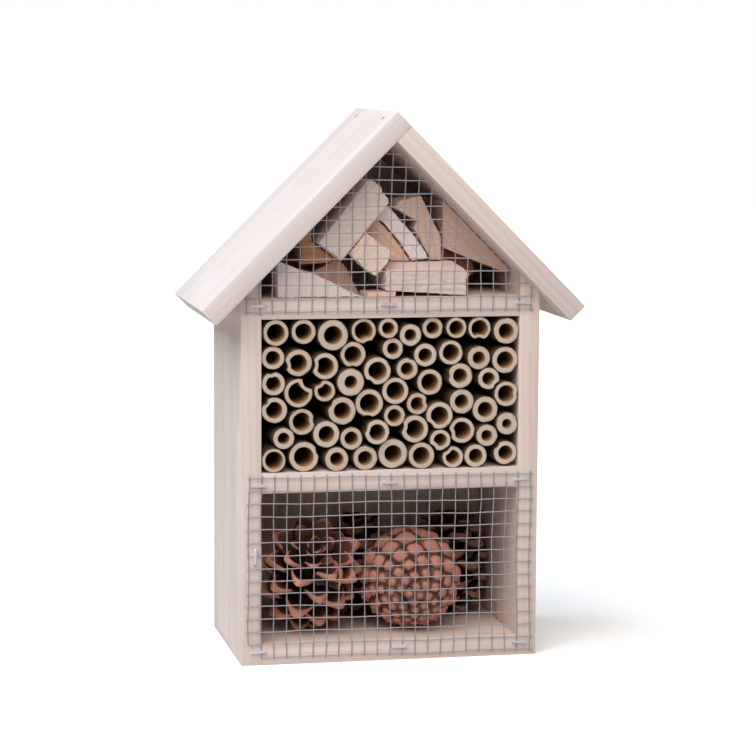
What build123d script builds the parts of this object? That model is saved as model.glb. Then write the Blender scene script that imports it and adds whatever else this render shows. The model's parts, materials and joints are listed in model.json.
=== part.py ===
"""Insect hotel: a gabled board house with a wire-fronted loft of offcuts,
a room packed with bamboo tubes and a wire-fronted room of pine cones."""

import os
from collections import namedtuple
from math import cos, floor, hypot, radians, sin, sqrt

from build123d import *

# ---------------------------------------------------------------- driving sizes (mm)
# X runs across the front, Y from front to back, Z up; the origin is under the middle.
body_width = 148.0            # across the outsides of the side panels
body_depth = 90.0             # front edges to back face
side_board = 10.0             # thickness of the two side panels
floor_board = 10.0            # thickness of the bottom board
shelf_board = 10.0            # thickness of the two shelves
back_board = 10.0             # thickness of the back panel
roof_board = 10.0             # thickness of the two roof boards
cone_room_height = 74.5       # clear height of the lower room
tube_room_height = 74.5       # clear height of the middle room
side_above_shelf = 1.4        # outer edge of a side panel above the upper shelf
roof_overhang_front = 10.0    # roof in front of the body
roof_slope_length = 133.3     # ridge to eave along the outside of the roof

wire = 0.7                    # thickness of the mesh wire
mesh_pitch_across = 6.4       # spacing of the upright wires
mesh_pitch_up = 6.3           # spacing of the level wires
wire_weld = 0.05              # depth that crossing wires are welded into each other
mesh_side_margin = 3.2        # outermost upright wire to the body's side
lower_mesh_foot = 3.5         # lowest wire above the ground
lower_mesh_rows = 15
wire_stub = 1.2               # wire left standing past the outermost wires
mesh_corner_cut = 9.0         # snipped bottom left corner
upper_mesh_foot = 6.4         # lowest wire of the loft mesh below the shelf's top
mesh_roof_clearance = 0.5     # snipped ends to the roof's underside
mesh_peak_drop = 5.0          # least drop of the loft's highest wire below the gable's inner peak

staple_crown = 7.0            # between the middles of the legs
staple_wire = 0.7             # thickness of the staple wire, front to back
staple_band = 1.2             # width of the flat staple wire
staple_leg = 6.0              # length of leg in the wood
staple_clearance = 0.05
staple_edge_shift = 1.6       # outermost staples beyond the nearest upright wire
shelf_staple_shift = -0.6     # staple in the middle of the lower shelf
floor_staple_shift = -1.8     # staple in the middle of the bottom board
loft_staple_shift = -1.9      # staple in the middle of the upper shelf
side_staple_row = 8           # level wires below the staple on the left side panel

nail_radius = 0.6
nail_length = 25.0
roof_nail_length = 16.0       # roof to side panels, ending inside the panels
nail_head_radius = 1.0
nail_head_height = 0.5
nail_clearance = 0.05
nail_edge_distance = 15.0     # from the front and back edges of the body's boards
ridge_nail_inset = 18.0       # from the front and back edges of the roof

hanger_width = 16.0
hanger_height = 40.0
hanger_thickness = 1.5
hanger_end_flat = 0.5         # straight end left between the plate's rounded corners
hanger_drop = 26.0            # middle of the plate below the gable's inner peak
keyhole_radius = 4.5
keyhole_slot_width = 4.6
keyhole_slot_rise = 9.0
keyhole_pocket_depth = 4.5
keyhole_pocket_rim = 2.0      # pocket behind the plate, wider than the keyhole
screw_radius = 1.2
screw_head_radius = 2.4
screw_length = 7.0
screw_spacing = 31.0
screw_clearance = 0.05

tube_gap = 0.06               # left between neighbouring tubes
tube_touch = 0.3              # tubes nearer than this hold each other
tube_wall_at_groove = 2.0
tubes_per_group = 3
offcut_clearance = 0.1        # shaved off every face of an offcut

# ---------------------------------------------------------------- worked-out places
half_width = body_width / 2
room_half = half_width - side_board
front = -(body_depth + roof_overhang_front) / 2 + roof_overhang_front
back = front + body_depth
back_inside = back - back_board
room_depth = back_inside - front
floor_top = floor_board
lower_shelf_bottom = floor_top + cone_room_height
lower_shelf_top = lower_shelf_bottom + shelf_board
upper_shelf_bottom = lower_shelf_top + tube_room_height
upper_shelf_top = upper_shelf_bottom + shelf_board
side_outer_height = upper_shelf_top + side_above_shelf
side_inner_height = side_outer_height + side_board
gable_peak = side_outer_height + half_width
ridge = gable_peak + roof_board * sqrt(2)
roof_front = front - roof_overhang_front

OUTWARD = (Align.CENTER, Align.CENTER, Align.MAX)


def slope_point(side, along, below):
    """Point of the roof section: along the slope from the ridge, below its outside."""
    x = side * (along - below) / sqrt(2)
    return (x, ridge - (along + below) / sqrt(2))


def section_plane(y):
    """Upright plane across the house at y: its X is across, its Y is up."""
    return Plane(origin=(0, y, 0), x_dir=(1, 0, 0), z_dir=(0, -1, 0))


# ---------------------------------------------------------------- fasteners
Staple = namedtuple("Staple", "x z upright")


def facing(side):
    """Rotation that turns local Z to the outside of a side panel."""
    return (0, side * 90, 0)


def panel_nails(heights, depths):
    """Nails through both side panels at the given heights and depths."""
    return [
        Location((side * half_width, y, z), facing(side))
        for side in (-1, 1)
        for z in heights
        for y in depths
    ]


def roof_nails(side, along, depths):
    """Nails square through a roof board, this far down the slope."""
    x, z = slope_point(side, along, 0)
    return [Location((x, y, z), (0, side * 45, 0)) for y in depths]


board_depths = (front + nail_edge_distance, back_inside - nail_edge_distance)
roof_depths = (front + nail_edge_distance, (front + back) / 2, back - nail_edge_distance)
ridge_depths = (front - roof_overhang_front + ridge_nail_inset, back - ridge_nail_inset)
side_panel_along = (half_width - side_board / 2) * sqrt(2) + roof_board
shelf_heights = (
    floor_board / 2,
    lower_shelf_bottom + shelf_board / 2,
    upper_shelf_bottom + shelf_board / 2,
)
back_heights = (
    floor_top + cone_room_height / 2,
    lower_shelf_top + tube_room_height / 2,
    upper_shelf_bottom,
)
shelf_nail_places = panel_nails(shelf_heights, board_depths)
back_nail_places = panel_nails(back_heights, (back - back_board / 2,))
ridge_nail_places = roof_nails(-1, roof_board / 2, ridge_depths)
roof_nail_places = [
    place for side in (-1, 1) for place in roof_nails(side, side_panel_along, roof_depths)
]


def nails(places, length, clearance=0.0, mode=Mode.ADD):
    """Flush-headed nails, or with a clearance the holes that they leave."""
    with Locations(*places):
        Cylinder(nail_radius + clearance, length + clearance, align=OUTWARD, mode=mode)
        Cylinder(
            nail_head_radius + clearance,
            nail_head_height + clearance,
            align=OUTWARD,
            mode=mode,
        )


def nail_holes(places, length):
    """Holes that these nails leave in the board being made."""
    nails(places, length, nail_clearance, Mode.SUBTRACT)


def staples(places, behind, clearance=0.0, mode=Mode.ADD):
    """Staples whose crowns lie this far in front of the body, or their leg holes."""
    for place in places:
        turn = 90 if place.upright else 0
        crown_front = front - behind - staple_wire
        leg_length = behind + staple_wire + staple_leg + clearance
        with Locations(Location((place.x, crown_front, place.z), (0, turn, 0))):
            with Locations(
                (-staple_crown / 2, leg_length / 2, 0),
                (staple_crown / 2, leg_length / 2, 0),
            ):
                Box(
                    staple_wire + 2 * clearance,
                    leg_length,
                    staple_band + 2 * clearance,
                    mode=mode,
                )
            if mode == Mode.ADD:
                with Locations((0, staple_wire / 2, 0)):
                    Box(staple_crown + staple_wire, staple_wire, staple_band)


def across_wire(near, aside):
    """Place of a level staple: over the nearest upright wire, a little aside of it."""
    return round(near / mesh_pitch_across) * mesh_pitch_across + aside


def between_level_wires(foot, near):
    """Height midway between the two level wires that are nearest."""
    return foot + (floor((near - foot) / mesh_pitch_up) + 0.5) * mesh_pitch_up


left_edge = across_wire(-room_half, -staple_edge_shift)
right_edge = across_wire(room_half, staple_edge_shift)
outer_gap = (floor(room_half / mesh_pitch_across) + 0.5) * mesh_pitch_across
shelf_staple_height = between_level_wires(lower_mesh_foot, lower_shelf_bottom + shelf_board / 2)
floor_staple_height = between_level_wires(lower_mesh_foot, floor_board / 2)
loft_staple_height = upper_shelf_top - upper_mesh_foot + mesh_pitch_up / 2
level_staples = [
    Staple(left_edge, shelf_staple_height, False),
    Staple(across_wire(0, shelf_staple_shift), shelf_staple_height, False),
    Staple(right_edge, shelf_staple_height, False),
    Staple(left_edge, floor_staple_height, False),
    Staple(across_wire(mesh_pitch_across, floor_staple_shift), floor_staple_height, False),
    Staple(right_edge, floor_staple_height, False),
]
side_staples = [Staple(-outer_gap, lower_mesh_foot + side_staple_row * mesh_pitch_up, True)]
loft_staples = [
    Staple(left_edge, loft_staple_height, False),
    Staple(across_wire(0, loft_staple_shift), loft_staple_height, False),
    Staple(right_edge, loft_staple_height, False),
]


def staple_holes():
    """Leg holes of every staple, cut from the board being made."""
    staples(level_staples + loft_staples, wire, staple_clearance, Mode.SUBTRACT)
    staples(side_staples, 2 * wire, staple_clearance, Mode.SUBTRACT)


# ---------------------------------------------------------------- boards
def side_panel(side):
    """Side panel with its top bevelled to the roof."""
    with BuildPart() as panel:
        with BuildSketch(section_plane(back)):
            Polygon(
                (side * half_width, 0),
                (side * half_width, side_outer_height),
                (side * room_half, side_inner_height),
                (side * room_half, 0),
                align=None,
            )
        extrude(amount=body_depth)
        nail_holes(shelf_nail_places + back_nail_places, nail_length)
        nail_holes(roof_nail_places, roof_nail_length)
        staple_holes()
    return panel


def level_board(bottom, thickness):
    """Board between the side panels, from the front to the back panel."""
    with BuildPart() as board:
        with BuildSketch(Plane.XY.offset(bottom)):
            with Locations((0, (front + back_inside) / 2)):
                Rectangle(2 * room_half, room_depth)
        extrude(amount=thickness)
        nail_holes(shelf_nail_places, nail_length)
        staple_holes()
    return board


left_side_panel = side_panel(-1)
right_side_panel = side_panel(1)
bottom_board = level_board(0, floor_board)
lower_shelf = level_board(lower_shelf_bottom, shelf_board)
upper_shelf = level_board(upper_shelf_bottom, shelf_board)

hanger_middle = gable_peak - hanger_drop
hanger_plane = Plane(origin=(0, back, hanger_middle), x_dir=(-1, 0, 0), z_dir=(0, 1, 0))
screw_places = [(0, screw_spacing / 2), (0, -screw_spacing / 2)]


def keyhole(rim=0.0):
    """Keyhole outline: a round entry below a slot with a round end."""
    with Locations((0, -keyhole_slot_rise / 2)):
        Circle(keyhole_radius + rim)
    with Locations((0, 0)):
        Rectangle(keyhole_slot_width + 2 * rim, keyhole_slot_rise)
    with Locations((0, keyhole_slot_rise / 2)):
        Circle(keyhole_slot_width / 2 + rim)


with BuildPart() as back_panel:
    with BuildSketch(section_plane(back)):
        Polygon(
            (-room_half, 0),
            (room_half, 0),
            (room_half, side_inner_height),
            (0, gable_peak),
            (-room_half, side_inner_height),
            align=None,
        )
    extrude(amount=back_board)
    nail_holes(back_nail_places, nail_length)
    with BuildSketch(hanger_plane):
        RectangleRounded(hanger_width, hanger_height, hanger_width / 2 - hanger_end_flat)
    extrude(amount=-hanger_thickness, mode=Mode.SUBTRACT)
    with BuildSketch(hanger_plane.offset(-hanger_thickness)):
        keyhole(keyhole_pocket_rim)
    extrude(amount=-keyhole_pocket_depth, mode=Mode.SUBTRACT)
    with Locations(hanger_plane):
        with Locations(*screw_places):
            Cylinder(
                screw_radius + screw_clearance,
                screw_length + screw_clearance,
                align=OUTWARD,
                mode=Mode.SUBTRACT,
            )

with BuildPart() as hanger_plate:
    with BuildSketch(hanger_plane):
        RectangleRounded(hanger_width, hanger_height, hanger_width / 2 - hanger_end_flat)
    extrude(amount=-hanger_thickness)
    with BuildSketch(hanger_plane):
        keyhole()
    extrude(amount=-hanger_thickness, mode=Mode.SUBTRACT)
    with Locations(hanger_plane):
        with Locations(*screw_places):
            CounterSinkHole(screw_radius + screw_clearance, screw_head_radius + screw_clearance)

with BuildPart() as hanger_screws:
    with Locations(hanger_plane):
        with Locations(*screw_places):
            Cylinder(screw_radius, screw_length, align=OUTWARD)
            Cone(
                screw_radius,
                screw_head_radius,
                screw_head_radius - screw_radius,
                align=OUTWARD,
            )


def roof(side, lap):
    """Roof board from the ridge, or from the other board's inside, to the eave."""
    with BuildPart() as board:
        with BuildSketch(section_plane(back)):
            Polygon(
                slope_point(side, lap, 0),
                slope_point(side, roof_slope_length, 0),
                slope_point(side, roof_slope_length, roof_board),
                slope_point(side, lap, roof_board),
                align=None,
            )
        extrude(amount=back - roof_front)
        nail_holes(ridge_nail_places, nail_length)
        nail_holes(roof_nail_places, roof_nail_length)
    return board


roof_left_board = roof(-1, 0)
roof_right_board = roof(1, roof_board)


def nail_group(places, length=nail_length):
    """Separate nails that fasten one kind of joint."""
    with BuildPart() as group:
        nails(places, length)
    return group


shelf_nails = nail_group(shelf_nail_places)
back_panel_nails = nail_group(back_nail_places)
ridge_nails = nail_group(ridge_nail_places)
eave_nails = nail_group(roof_nail_places, roof_nail_length)

# ---------------------------------------------------------------- wire mesh fronts
upright_count = 2 * floor((half_width - mesh_side_margin) / mesh_pitch_across) + 1
mesh_half = (upright_count - 1) / 2 * mesh_pitch_across


def mesh_front(rows, foot, outline):
    """Welded mesh: upright wires on the wood and level wires in front of them."""
    height = (rows - 1) * mesh_pitch_up
    middle = foot + height / 2
    with BuildPart() as mesh:
        with BuildSketch(section_plane(front)):
            with Locations((0, middle)):
                with GridLocations(mesh_pitch_across, 1, upright_count, 1):
                    Rectangle(wire, height + 2 * wire_stub)
            Polygon(*outline, align=None, mode=Mode.INTERSECT)
        extrude(amount=wire)
        with BuildSketch(section_plane(front - wire + wire_weld)):
            with Locations((0, middle)):
                with GridLocations(1, mesh_pitch_up, 1, rows):
                    Rectangle(2 * (mesh_half + wire_stub), wire)
            Polygon(*outline, align=None, mode=Mode.INTERSECT)
        extrude(amount=wire)
    return mesh


reach = mesh_half + wire_stub
lower_mesh_top = lower_mesh_foot + (lower_mesh_rows - 1) * mesh_pitch_up + wire_stub
lower_mesh_bottom = lower_mesh_foot - wire_stub
lower_mesh = mesh_front(
    lower_mesh_rows,
    lower_mesh_foot,
    [
        (-reach, lower_mesh_bottom + mesh_corner_cut),
        (-reach + mesh_corner_cut, lower_mesh_bottom),
        (reach, lower_mesh_bottom),
        (reach, lower_mesh_top),
        (-reach, lower_mesh_top),
    ],
)

loft_foot = upper_shelf_top - upper_mesh_foot
loft_rows = floor((gable_peak - mesh_peak_drop - loft_foot) / mesh_pitch_up) + 1
loft_peak = gable_peak - mesh_roof_clearance * sqrt(2)
loft_bottom = loft_foot - wire_stub
loft_side_top = loft_peak - reach
upper_mesh = mesh_front(
    loft_rows,
    loft_foot,
    [
        (-reach, loft_bottom),
        (reach, loft_bottom),
        (reach, loft_side_top),
        (0, loft_peak),
        (-reach, loft_side_top),
    ],
)

with BuildPart() as lower_mesh_staples:
    staples(level_staples, wire)
    staples(side_staples, 2 * wire)

with BuildPart() as upper_mesh_staples:
    staples(loft_staples, wire)

# ---------------------------------------------------------------- bamboo tubes
# Place from the middle of the lower shelf's top, outside and bore diameters,
# direction of the bud groove in degrees (0 is +X, 90 is up) and its depth.
Tube = namedtuple("Tube", "x z outside bore groove depth")
sorted_room_width = 128.0     # room that the tubes, offcuts and cones were sorted for
sorted_room_height = 74.5
tubes = [
    Tube(-57.9, 5.8, 11.9, 8.4, 0, 0.0),
    Tube(-43.0, 7.2, 14.8, 9.4, 20, 0.7),
    Tube(-27.0, 6.3, 11.9, 6.4, 0, 0.0),
    Tube(-12.7, 6.5, 12.2, 6.8, 0, 0.0),
    Tube(1.2, 7.9, 14.8, 8.2, 0, 0.0),
    Tube(15.9, 6.1, 13.2, 8.2, 0, 0.0),
    Tube(30.9, 5.7, 10.8, 6.6, 130, 1.0),
    Tube(42.5, 5.6, 11.6, 6.6, 0, 0.0),
    Tube(57.7, 6.9, 12.0, 6.8, 140, 0.8),
    Tube(-53.0, 16.8, 10.7, 5.4, 0, 0.0),
    Tube(-32.0, 18.3, 13.3, 7.6, 0, 0.0),
    Tube(-19.5, 16.3, 11.3, 6.4, 0, 0.0),
    Tube(-6.6, 18.9, 12.4, 7.6, 165, 0.8),
    Tube(12.2, 19.1, 13.8, 8.6, 170, 1.2),
    Tube(24.2, 13.1, 10.7, 6.2, 225, 1.0),
    Tube(35.0, 18.3, 12.9, 8.4, 195, 1.0),
    Tube(48.0, 15.9, 11.0, 5.2, 0, 0.0),
    Tube(-57.6, 30.5, 12.8, 7.8, 140, 1.0),
    Tube(-44.0, 24.4, 13.1, 8.6, 5, 1.0),
    Tube(-24.4, 29.5, 13.8, 8.0, 150, 0.8),
    Tube(-10.9, 32.9, 14.0, 9.0, 265, 0.9),
    Tube(2.4, 26.2, 10.8, 6.4, 0, 0.0),
    Tube(13.3, 31.9, 10.9, 6.4, 10, 0.9),
    Tube(24.0, 26.3, 13.6, 8.6, 225, 1.0),
    Tube(34.9, 32.3, 12.4, 6.6, 0, 0.0),
    Tube(47.0, 28.7, 13.1, 7.3, 0, 0.0),
    Tube(58.2, 21.5, 11.2, 4.4, 0, 0.0),
    Tube(-57.8, 43.3, 11.7, 6.8, 100, 0.8),
    Tube(-46.0, 38.7, 14.2, 10.0, 45, 2.4),
    Tube(-32.8, 39.3, 10.6, 6.6, 125, 1.0),
    Tube(-20.2, 43.7, 13.7, 6.0, 0, 0.0),
    Tube(2.0, 38.2, 13.3, 8.6, 0, 0.0),
    Tube(19.4, 42.6, 13.0, 8.2, 0, 0.0),
    Tube(34.3, 45.6, 12.6, 6.8, 180, 0.9),
    Tube(49.0, 43.8, 11.0, 6.0, 320, 1.0),
    Tube(57.6, 36.3, 12.4, 8.0, 0, 0.8),
    Tube(-57.9, 55.7, 11.5, 6.6, 0, 0.0),
    Tube(-46.5, 53.5, 13.4, 8.2, 190, 1.1),
    Tube(-33.0, 51.5, 13.2, 8.4, 175, 1.5),
    Tube(-18.8, 56.7, 12.8, 8.0, 270, 0.8),
    Tube(-7.0, 49.4, 13.6, 8.8, 235, 0.9),
    Tube(0.7, 59.5, 10.6, 5.6, 0, 0.0),
    Tube(7.8, 49.9, 10.9, 6.0, 0, 0.0),
    Tube(17.0, 57.6, 11.6, 6.4, 0, 0.0),
    Tube(29.5, 57.7, 12.2, 7.9, 0, 0.0),
    Tube(43.7, 54.2, 11.7, 6.0, 0, 0.0),
    Tube(57.2, 52.8, 13.4, 7.9, 0, 0.0),
    Tube(-57.0, 68.0, 12.8, 8.4, 0, 0.0),
    Tube(-43.3, 68.3, 12.2, 7.6, 0, 0.0),
    Tube(-29.0, 66.5, 15.2, 8.6, 0, 0.0),
    Tube(-13.8, 68.5, 12.4, 8.6, 290, 0.8),
    Tube(-1.7, 69.5, 10.0, 5.8, 0, 0.0),
    Tube(9.4, 66.5, 11.0, 5.6, 0, 0.0),
    Tube(20.6, 69.1, 10.6, 6.0, 0, 0.0),
    Tube(32.2, 69.2, 10.5, 6.8, 0, 0.0),
    Tube(44.0, 68.7, 11.6, 8.0, 270, 1.1),
    Tube(57.3, 67.3, 13.0, 7.3, 0, 0.0),
]
tube_recess = (0.4, 1.2, 0.1, 0.8, 1.6, 0.3, 1.0)   # front ends behind the boards, in turn
room_spread = 2 * room_half / sorted_room_width
tube_lift = tube_room_height / sorted_room_height
tube_scale = min(room_spread, tube_lift)
groove_share = 0.6            # radius of a bud groove to the tube's own
settling_rounds = 3000
settled_enough = 0.002


def free_gap(place, radius, others):
    """Smallest gap from a tube to the room's boards and to the other tubes."""
    x, z = place
    gaps = [room_half - abs(x) - radius, z - radius, tube_room_height - z - radius]
    gaps += [hypot(x - ox, z - oz) - radius - r for (ox, oz), r in others]
    return min(gaps)


def push_apart(places, radii):
    """Move overlapping tubes apart, and back inside the room, until all are clear."""
    for _ in range(settling_rounds):
        worst = 0.0
        for i, a in enumerate(places):
            for j in range(i):
                b = places[j]
                dx, dz = a[0] - b[0], a[1] - b[1]
                distance = hypot(dx, dz)
                short = radii[i] + radii[j] + tube_gap - distance
                if short > 0:
                    worst = max(worst, short)
                    step = short / 2 / distance
                    a[0] += dx * step
                    a[1] += dz * step
                    b[0] -= dx * step
                    b[1] -= dz * step
        for place, radius in zip(places, radii):
            inside = radius + tube_gap
            place[0] = min(max(place[0], inside - room_half), room_half - inside)
            place[1] = min(max(place[1], inside), tube_room_height - inside)
        if worst < settled_enough:
            return


def let_down(places, radii):
    """Lower every tube that nothing holds until it lies on something held."""
    order = sorted(range(len(places)), key=lambda i: places[i][1])
    held = []
    changed = True
    while changed:
        changed = False
        for i in order:
            if i in held:
                continue
            others = [(places[j], radii[j]) for j in held]
            if free_gap(places[i], radii[i], others) <= tube_touch:
                held.append(i)
                changed = True
        if not changed and len(held) < len(places):
            i = next(k for k in order if k not in held)
            others = [(places[j], radii[j]) for j in range(len(places)) if j != i]
            while free_gap(places[i], radii[i], others) > tube_gap:
                places[i][1] -= min(0.5, free_gap(places[i], radii[i], others) - tube_gap + 0.01)
            held.append(i)
            changed = True


def settled_tubes():
    """The sorted tubes, placed clear of each other and each held by something."""
    places = [[tube.x * room_spread, tube.z * tube_lift] for tube in tubes]
    radii = [tube.outside / 2 * tube_scale for tube in tubes]
    push_apart(places, radii)
    let_down(places, radii)
    return places


def tube_section(tube, place):
    """End of a tube: a ring whose bud groove dents both its outside and its bore."""
    outside = tube.outside / 2 * tube_scale
    bore = tube.bore / 2 * tube_scale
    groove = outside * groove_share
    reach_out = outside + groove - tube.depth * tube_scale
    direction = radians(tube.groove)
    middle = (place[0], lower_shelf_top + place[1])
    dent = (middle[0] + reach_out * cos(direction), middle[1] + reach_out * sin(direction))
    wall = min(tube_wall_at_groove * tube_scale, outside - bore)
    with BuildSketch(section_plane(back_inside)) as hollow:
        with Locations(middle):
            Circle(bore)
        if tube.depth > 0:
            with Locations(dent):
                Circle(groove + wall, mode=Mode.SUBTRACT)
    with BuildSketch(section_plane(back_inside)) as ring:
        with Locations(middle):
            Circle(outside)
        if tube.depth > 0:
            with Locations(dent):
                Circle(groove, mode=Mode.SUBTRACT)
        add(hollow.sketch_local, mode=Mode.SUBTRACT)
    return ring.sketch


def tube_group(first, places):
    """A few neighbouring tubes, each a separate solid."""
    members = range(first, min(first + tubes_per_group, len(tubes)))
    with BuildPart() as group:
        for i in members:
            length = room_depth - tube_recess[i % len(tube_recess)]
            extrude(tube_section(tubes[i], places[i]), amount=length)
    return group


tube_places = settled_tubes()
tube_groups = [
    tube_group(first, tube_places) for first in range(0, len(tubes), tubes_per_group)
]

# ---------------------------------------------------------------- offcuts in the loft
# Outline from the middle of the upper shelf's top, then its front and back
# measured from the body's front. All are drawn for the sorted room.
Offcut = namedtuple("Offcut", "name front back outline")
offcuts = [
    Offcut(
        "front_triangle_offcut",
        2,
        20,
        [(-55.7, 0), (-14.1, 0), (-37.6, 11.8), (-43, 13), (-55.7, 18.3)],
    ),
    Offcut(
        "rear_triangle_offcut",
        20,
        50,
        [(-46, 0), (-11.5, 0), (-20, 15.5), (-24.3, 17.1), (-34, 12), (-46, 8)],
    ),
    Offcut(
        "square_block_offcut",
        14,
        45,
        [
            (-42.5, 15), (-27.3, 16), (-26.6, 18.6), (-36.7, 26.2), (-36.7, 33),
            (-39.5, 35.7), (-42.5, 32.7),
        ],
    ),
    Offcut(
        "leaning_board_offcut",
        3,
        37,
        [
            (-24.4, 17.3), (-35.9, 26.3), (-26.4, 37.8), (-12.4, 55.9), (-10.4, 57.1),
            (-6.4, 54.9), (-4.3, 52.4), (-4.3, 50.9), (-1, 47.8), (-0.8, 45.5),
        ],
    ),
    Offcut(
        "rough_chip_offcut",
        2,
        12,
        [
            (-20.6, 21.2), (-12.4, 31.4), (1.4, 21.2), (-0.6, 19), (-1.8, 16.6), (-3.4, 14.7),
            (-7.5, 9.8), (-14.6, 14.8),
        ],
    ),
    Offcut(
        "tan_stick_offcut",
        13,
        30,
        [
            (-11.4, 32.3), (-6.6, 37.8), (-1.8, 34.3), (6.2, 24.8), (11.6, 16.6),
            (2, 16.6), (-4, 24),
        ],
    ),
    Offcut(
        "rough_sawn_stick_offcut",
        12,
        24,
        [
            (-6.3, 38.3), (-4, 41.3), (-1.2, 44.3), (1.6, 42.3), (7.7, 35.8), (12.7, 30.2),
            (19.8, 20.6), (20.8, 17.2), (12.4, 16.6), (6.7, 25.2), (-1.4, 34.8),
        ],
    ),
    Offcut(
        "bevelled_stick_offcut",
        14,
        34,
        [
            (22.6, 16.6), (27.9, 16.6), (27.6, 28), (22.3, 38.7), (17.2, 48.6), (6, 46.3), (4, 42.2),
            (14.8, 36.1), (13.6, 32.1), (16, 28),
        ],
    ),
    Offcut(
        "sloping_wedge_offcut",
        17,
        60,
        [(28.7, 22.6), (28.7, 46.3), (63.6, 11.4), (61, 10), (45, 16)],
    ),
    Offcut(
        "dark_stick_offcut",
        25,
        65,
        [
            (29.5, 16.6), (29.5, 22), (33, 20.6), (46.2, 15.2), (47.5, 9.5), (44.5, 7),
            (39.5, 12.6), (34, 16.6),
        ],
    ),
    Offcut("thin_strip_offcut", 1, 19, [(-12.5, 0), (2.5, 0), (2.5, 2.7), (-12.5, 2.4)]),
]
block_top = 16.5
block_outline = [
    (-3, 2.9), (37.7, 0.1), (37.7, 7.8), (39.2, 10.8), (37, 13.5), (33, block_top),
    (-1.5, block_top), (-3, 15),
]
block_front, block_back = 2, 52
block_bevel_back = 14         # the block's top slopes up from its front to here
block_bevel_drop = 4.2
block_bevel_past = 1.0        # the bevel's cut starts this far in front of the block
sorted_room_depth = 80.0      # depth, and height to the peak, that the heap was sorted for
sorted_loft_peak = 75.4
heap_scale = min(room_spread, (gable_peak - upper_shelf_top) / sorted_loft_peak)
heap_depth_scale = room_depth / sorted_room_depth


def heap_points(outline):
    """Outline of an offcut, cut to the width of the loft."""
    return [(x * heap_scale, upper_shelf_top + z * heap_scale) for x, z in outline]


def offcut_prism(outline, nearest, furthest):
    """Straight offcut with the outline given, from nearest to furthest."""
    with BuildPart() as piece:
        with BuildSketch(section_plane(front + furthest * heap_depth_scale)):
            with BuildLine():
                Polyline(*heap_points(outline), close=True)
            make_face()
            offset(amount=-offcut_clearance, kind=Kind.INTERSECTION)
        extrude(amount=(furthest - nearest) * heap_depth_scale - offcut_clearance)
    return piece


loft_pieces = {
    offcut.name: offcut_prism(offcut.outline, offcut.front, offcut.back) for offcut in offcuts
}

bevel_crest = upper_shelf_top + block_top * heap_scale
bevel_back = front + block_bevel_back * heap_depth_scale
bevel_start = front + (block_front - block_bevel_past) * heap_depth_scale
bevel_fall = block_bevel_drop / (block_bevel_back - block_front)
bevel_foot = bevel_crest - (bevel_back - bevel_start) * bevel_fall

with BuildPart() as rough_sawn_block:
    add(offcut_prism(block_outline, block_front, block_back).part)
    with BuildSketch(Plane.YZ.offset(-room_half)):
        Polygon(
            (bevel_start, bevel_foot),
            (bevel_back, bevel_crest),
            (bevel_start, bevel_crest),
            align=None,
        )
    extrude(amount=2 * room_half, mode=Mode.SUBTRACT)

# ---------------------------------------------------------------- pine cones
# Middle (across, back from the front, above the floor), length, radius,
# share of the length from the stalk to the widest part, lean back and turn.
PineCone = namedtuple("PineCone", "x y z length radius widest lean turn")
pine_cones = {
    "open_pine_cone": PineCone(-36.6, 29.5, 28.6, 55.0, 26.4, 0.42, -8, 0),
    "closed_pine_cone": PineCone(15.4, 26.8, 26.0, 50.0, 24.6, 0.40, 68, -14),
    "rear_middle_pine_cone": PineCone(-3.5, 63.2, 28.4, 55.0, 16.4, 0.42, 4, 0),
    "rear_right_pine_cone": PineCone(44.6, 60.6, 29.6, 57.0, 18.4, 0.42, 3, 0),
}
cone_seat = 0.05              # left between a cone and the floor
cone_scale = min(room_spread, cone_room_height / sorted_room_height, heap_depth_scale)
cone_tip_share = 0.10         # radius of a cone's blunt tip, and of its stalk end,
cone_stalk_share = 0.30       # to its widest


def pine_cone(shape):
    """Closed envelope of a cone: an egg turned about its stalk axis."""
    length = shape.length * cone_scale
    radius = shape.radius * cone_scale
    tip = cone_tip_share * radius
    stalk = cone_stalk_share * radius
    middle = (
        shape.x * room_spread,
        front + shape.y * heap_depth_scale,
        floor_top + shape.z * cone_scale,
    )
    axis_plane = Plane(Location(middle, (-shape.lean, 0, shape.turn)))
    profile_plane = Plane(origin=axis_plane.origin, x_dir=axis_plane.x_dir, z_dir=-axis_plane.y_dir)
    wide = (shape.widest - 0.5) * length
    with BuildPart() as cone:
        with BuildSketch(profile_plane):
            with BuildLine():
                Line((0, -length / 2), (stalk, -length / 2))
                Spline(
                    (stalk, -length / 2),
                    (radius, wide),
                    (tip, length / 2),
                    tangents=[(1, 0.15), (0, 1), (-1, 0.3)],
                )
                Line((tip, length / 2), (0, length / 2))
                Line((0, length / 2), (0, -length / 2))
            make_face()
        revolve(axis=Axis(middle, axis_plane.z_dir))
    drop = cone.part.bounding_box().min.Z - floor_top - cone_seat
    with BuildPart() as seated:
        add(cone.part.moved(Location((0, 0, -drop))))
    return seated


# ---------------------------------------------------------------- writing the parts
nodes = {
    "left_side_panel": left_side_panel,
    "right_side_panel": right_side_panel,
    "bottom_board": bottom_board,
    "lower_shelf": lower_shelf,
    "upper_shelf": upper_shelf,
    "back_panel": back_panel,
    "roof_left_board": roof_left_board,
    "roof_right_board": roof_right_board,
    "hanger_plate": hanger_plate,
    "hanger_screws": hanger_screws,
    "shelf_nails": shelf_nails,
    "back_panel_nails": back_panel_nails,
    "ridge_nails": ridge_nails,
    "eave_nails": eave_nails,
    "lower_mesh": lower_mesh,
    "upper_mesh": upper_mesh,
    "lower_mesh_staples": lower_mesh_staples,
    "upper_mesh_staples": upper_mesh_staples,
    "rough_sawn_block_offcut": rough_sawn_block,
}
nodes.update(loft_pieces)
nodes.update({name: pine_cone(shape) for name, shape in pine_cones.items()})
nodes.update({f"bamboo_tubes_{n:02d}": group for n, group in enumerate(tube_groups, 1)})

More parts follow.
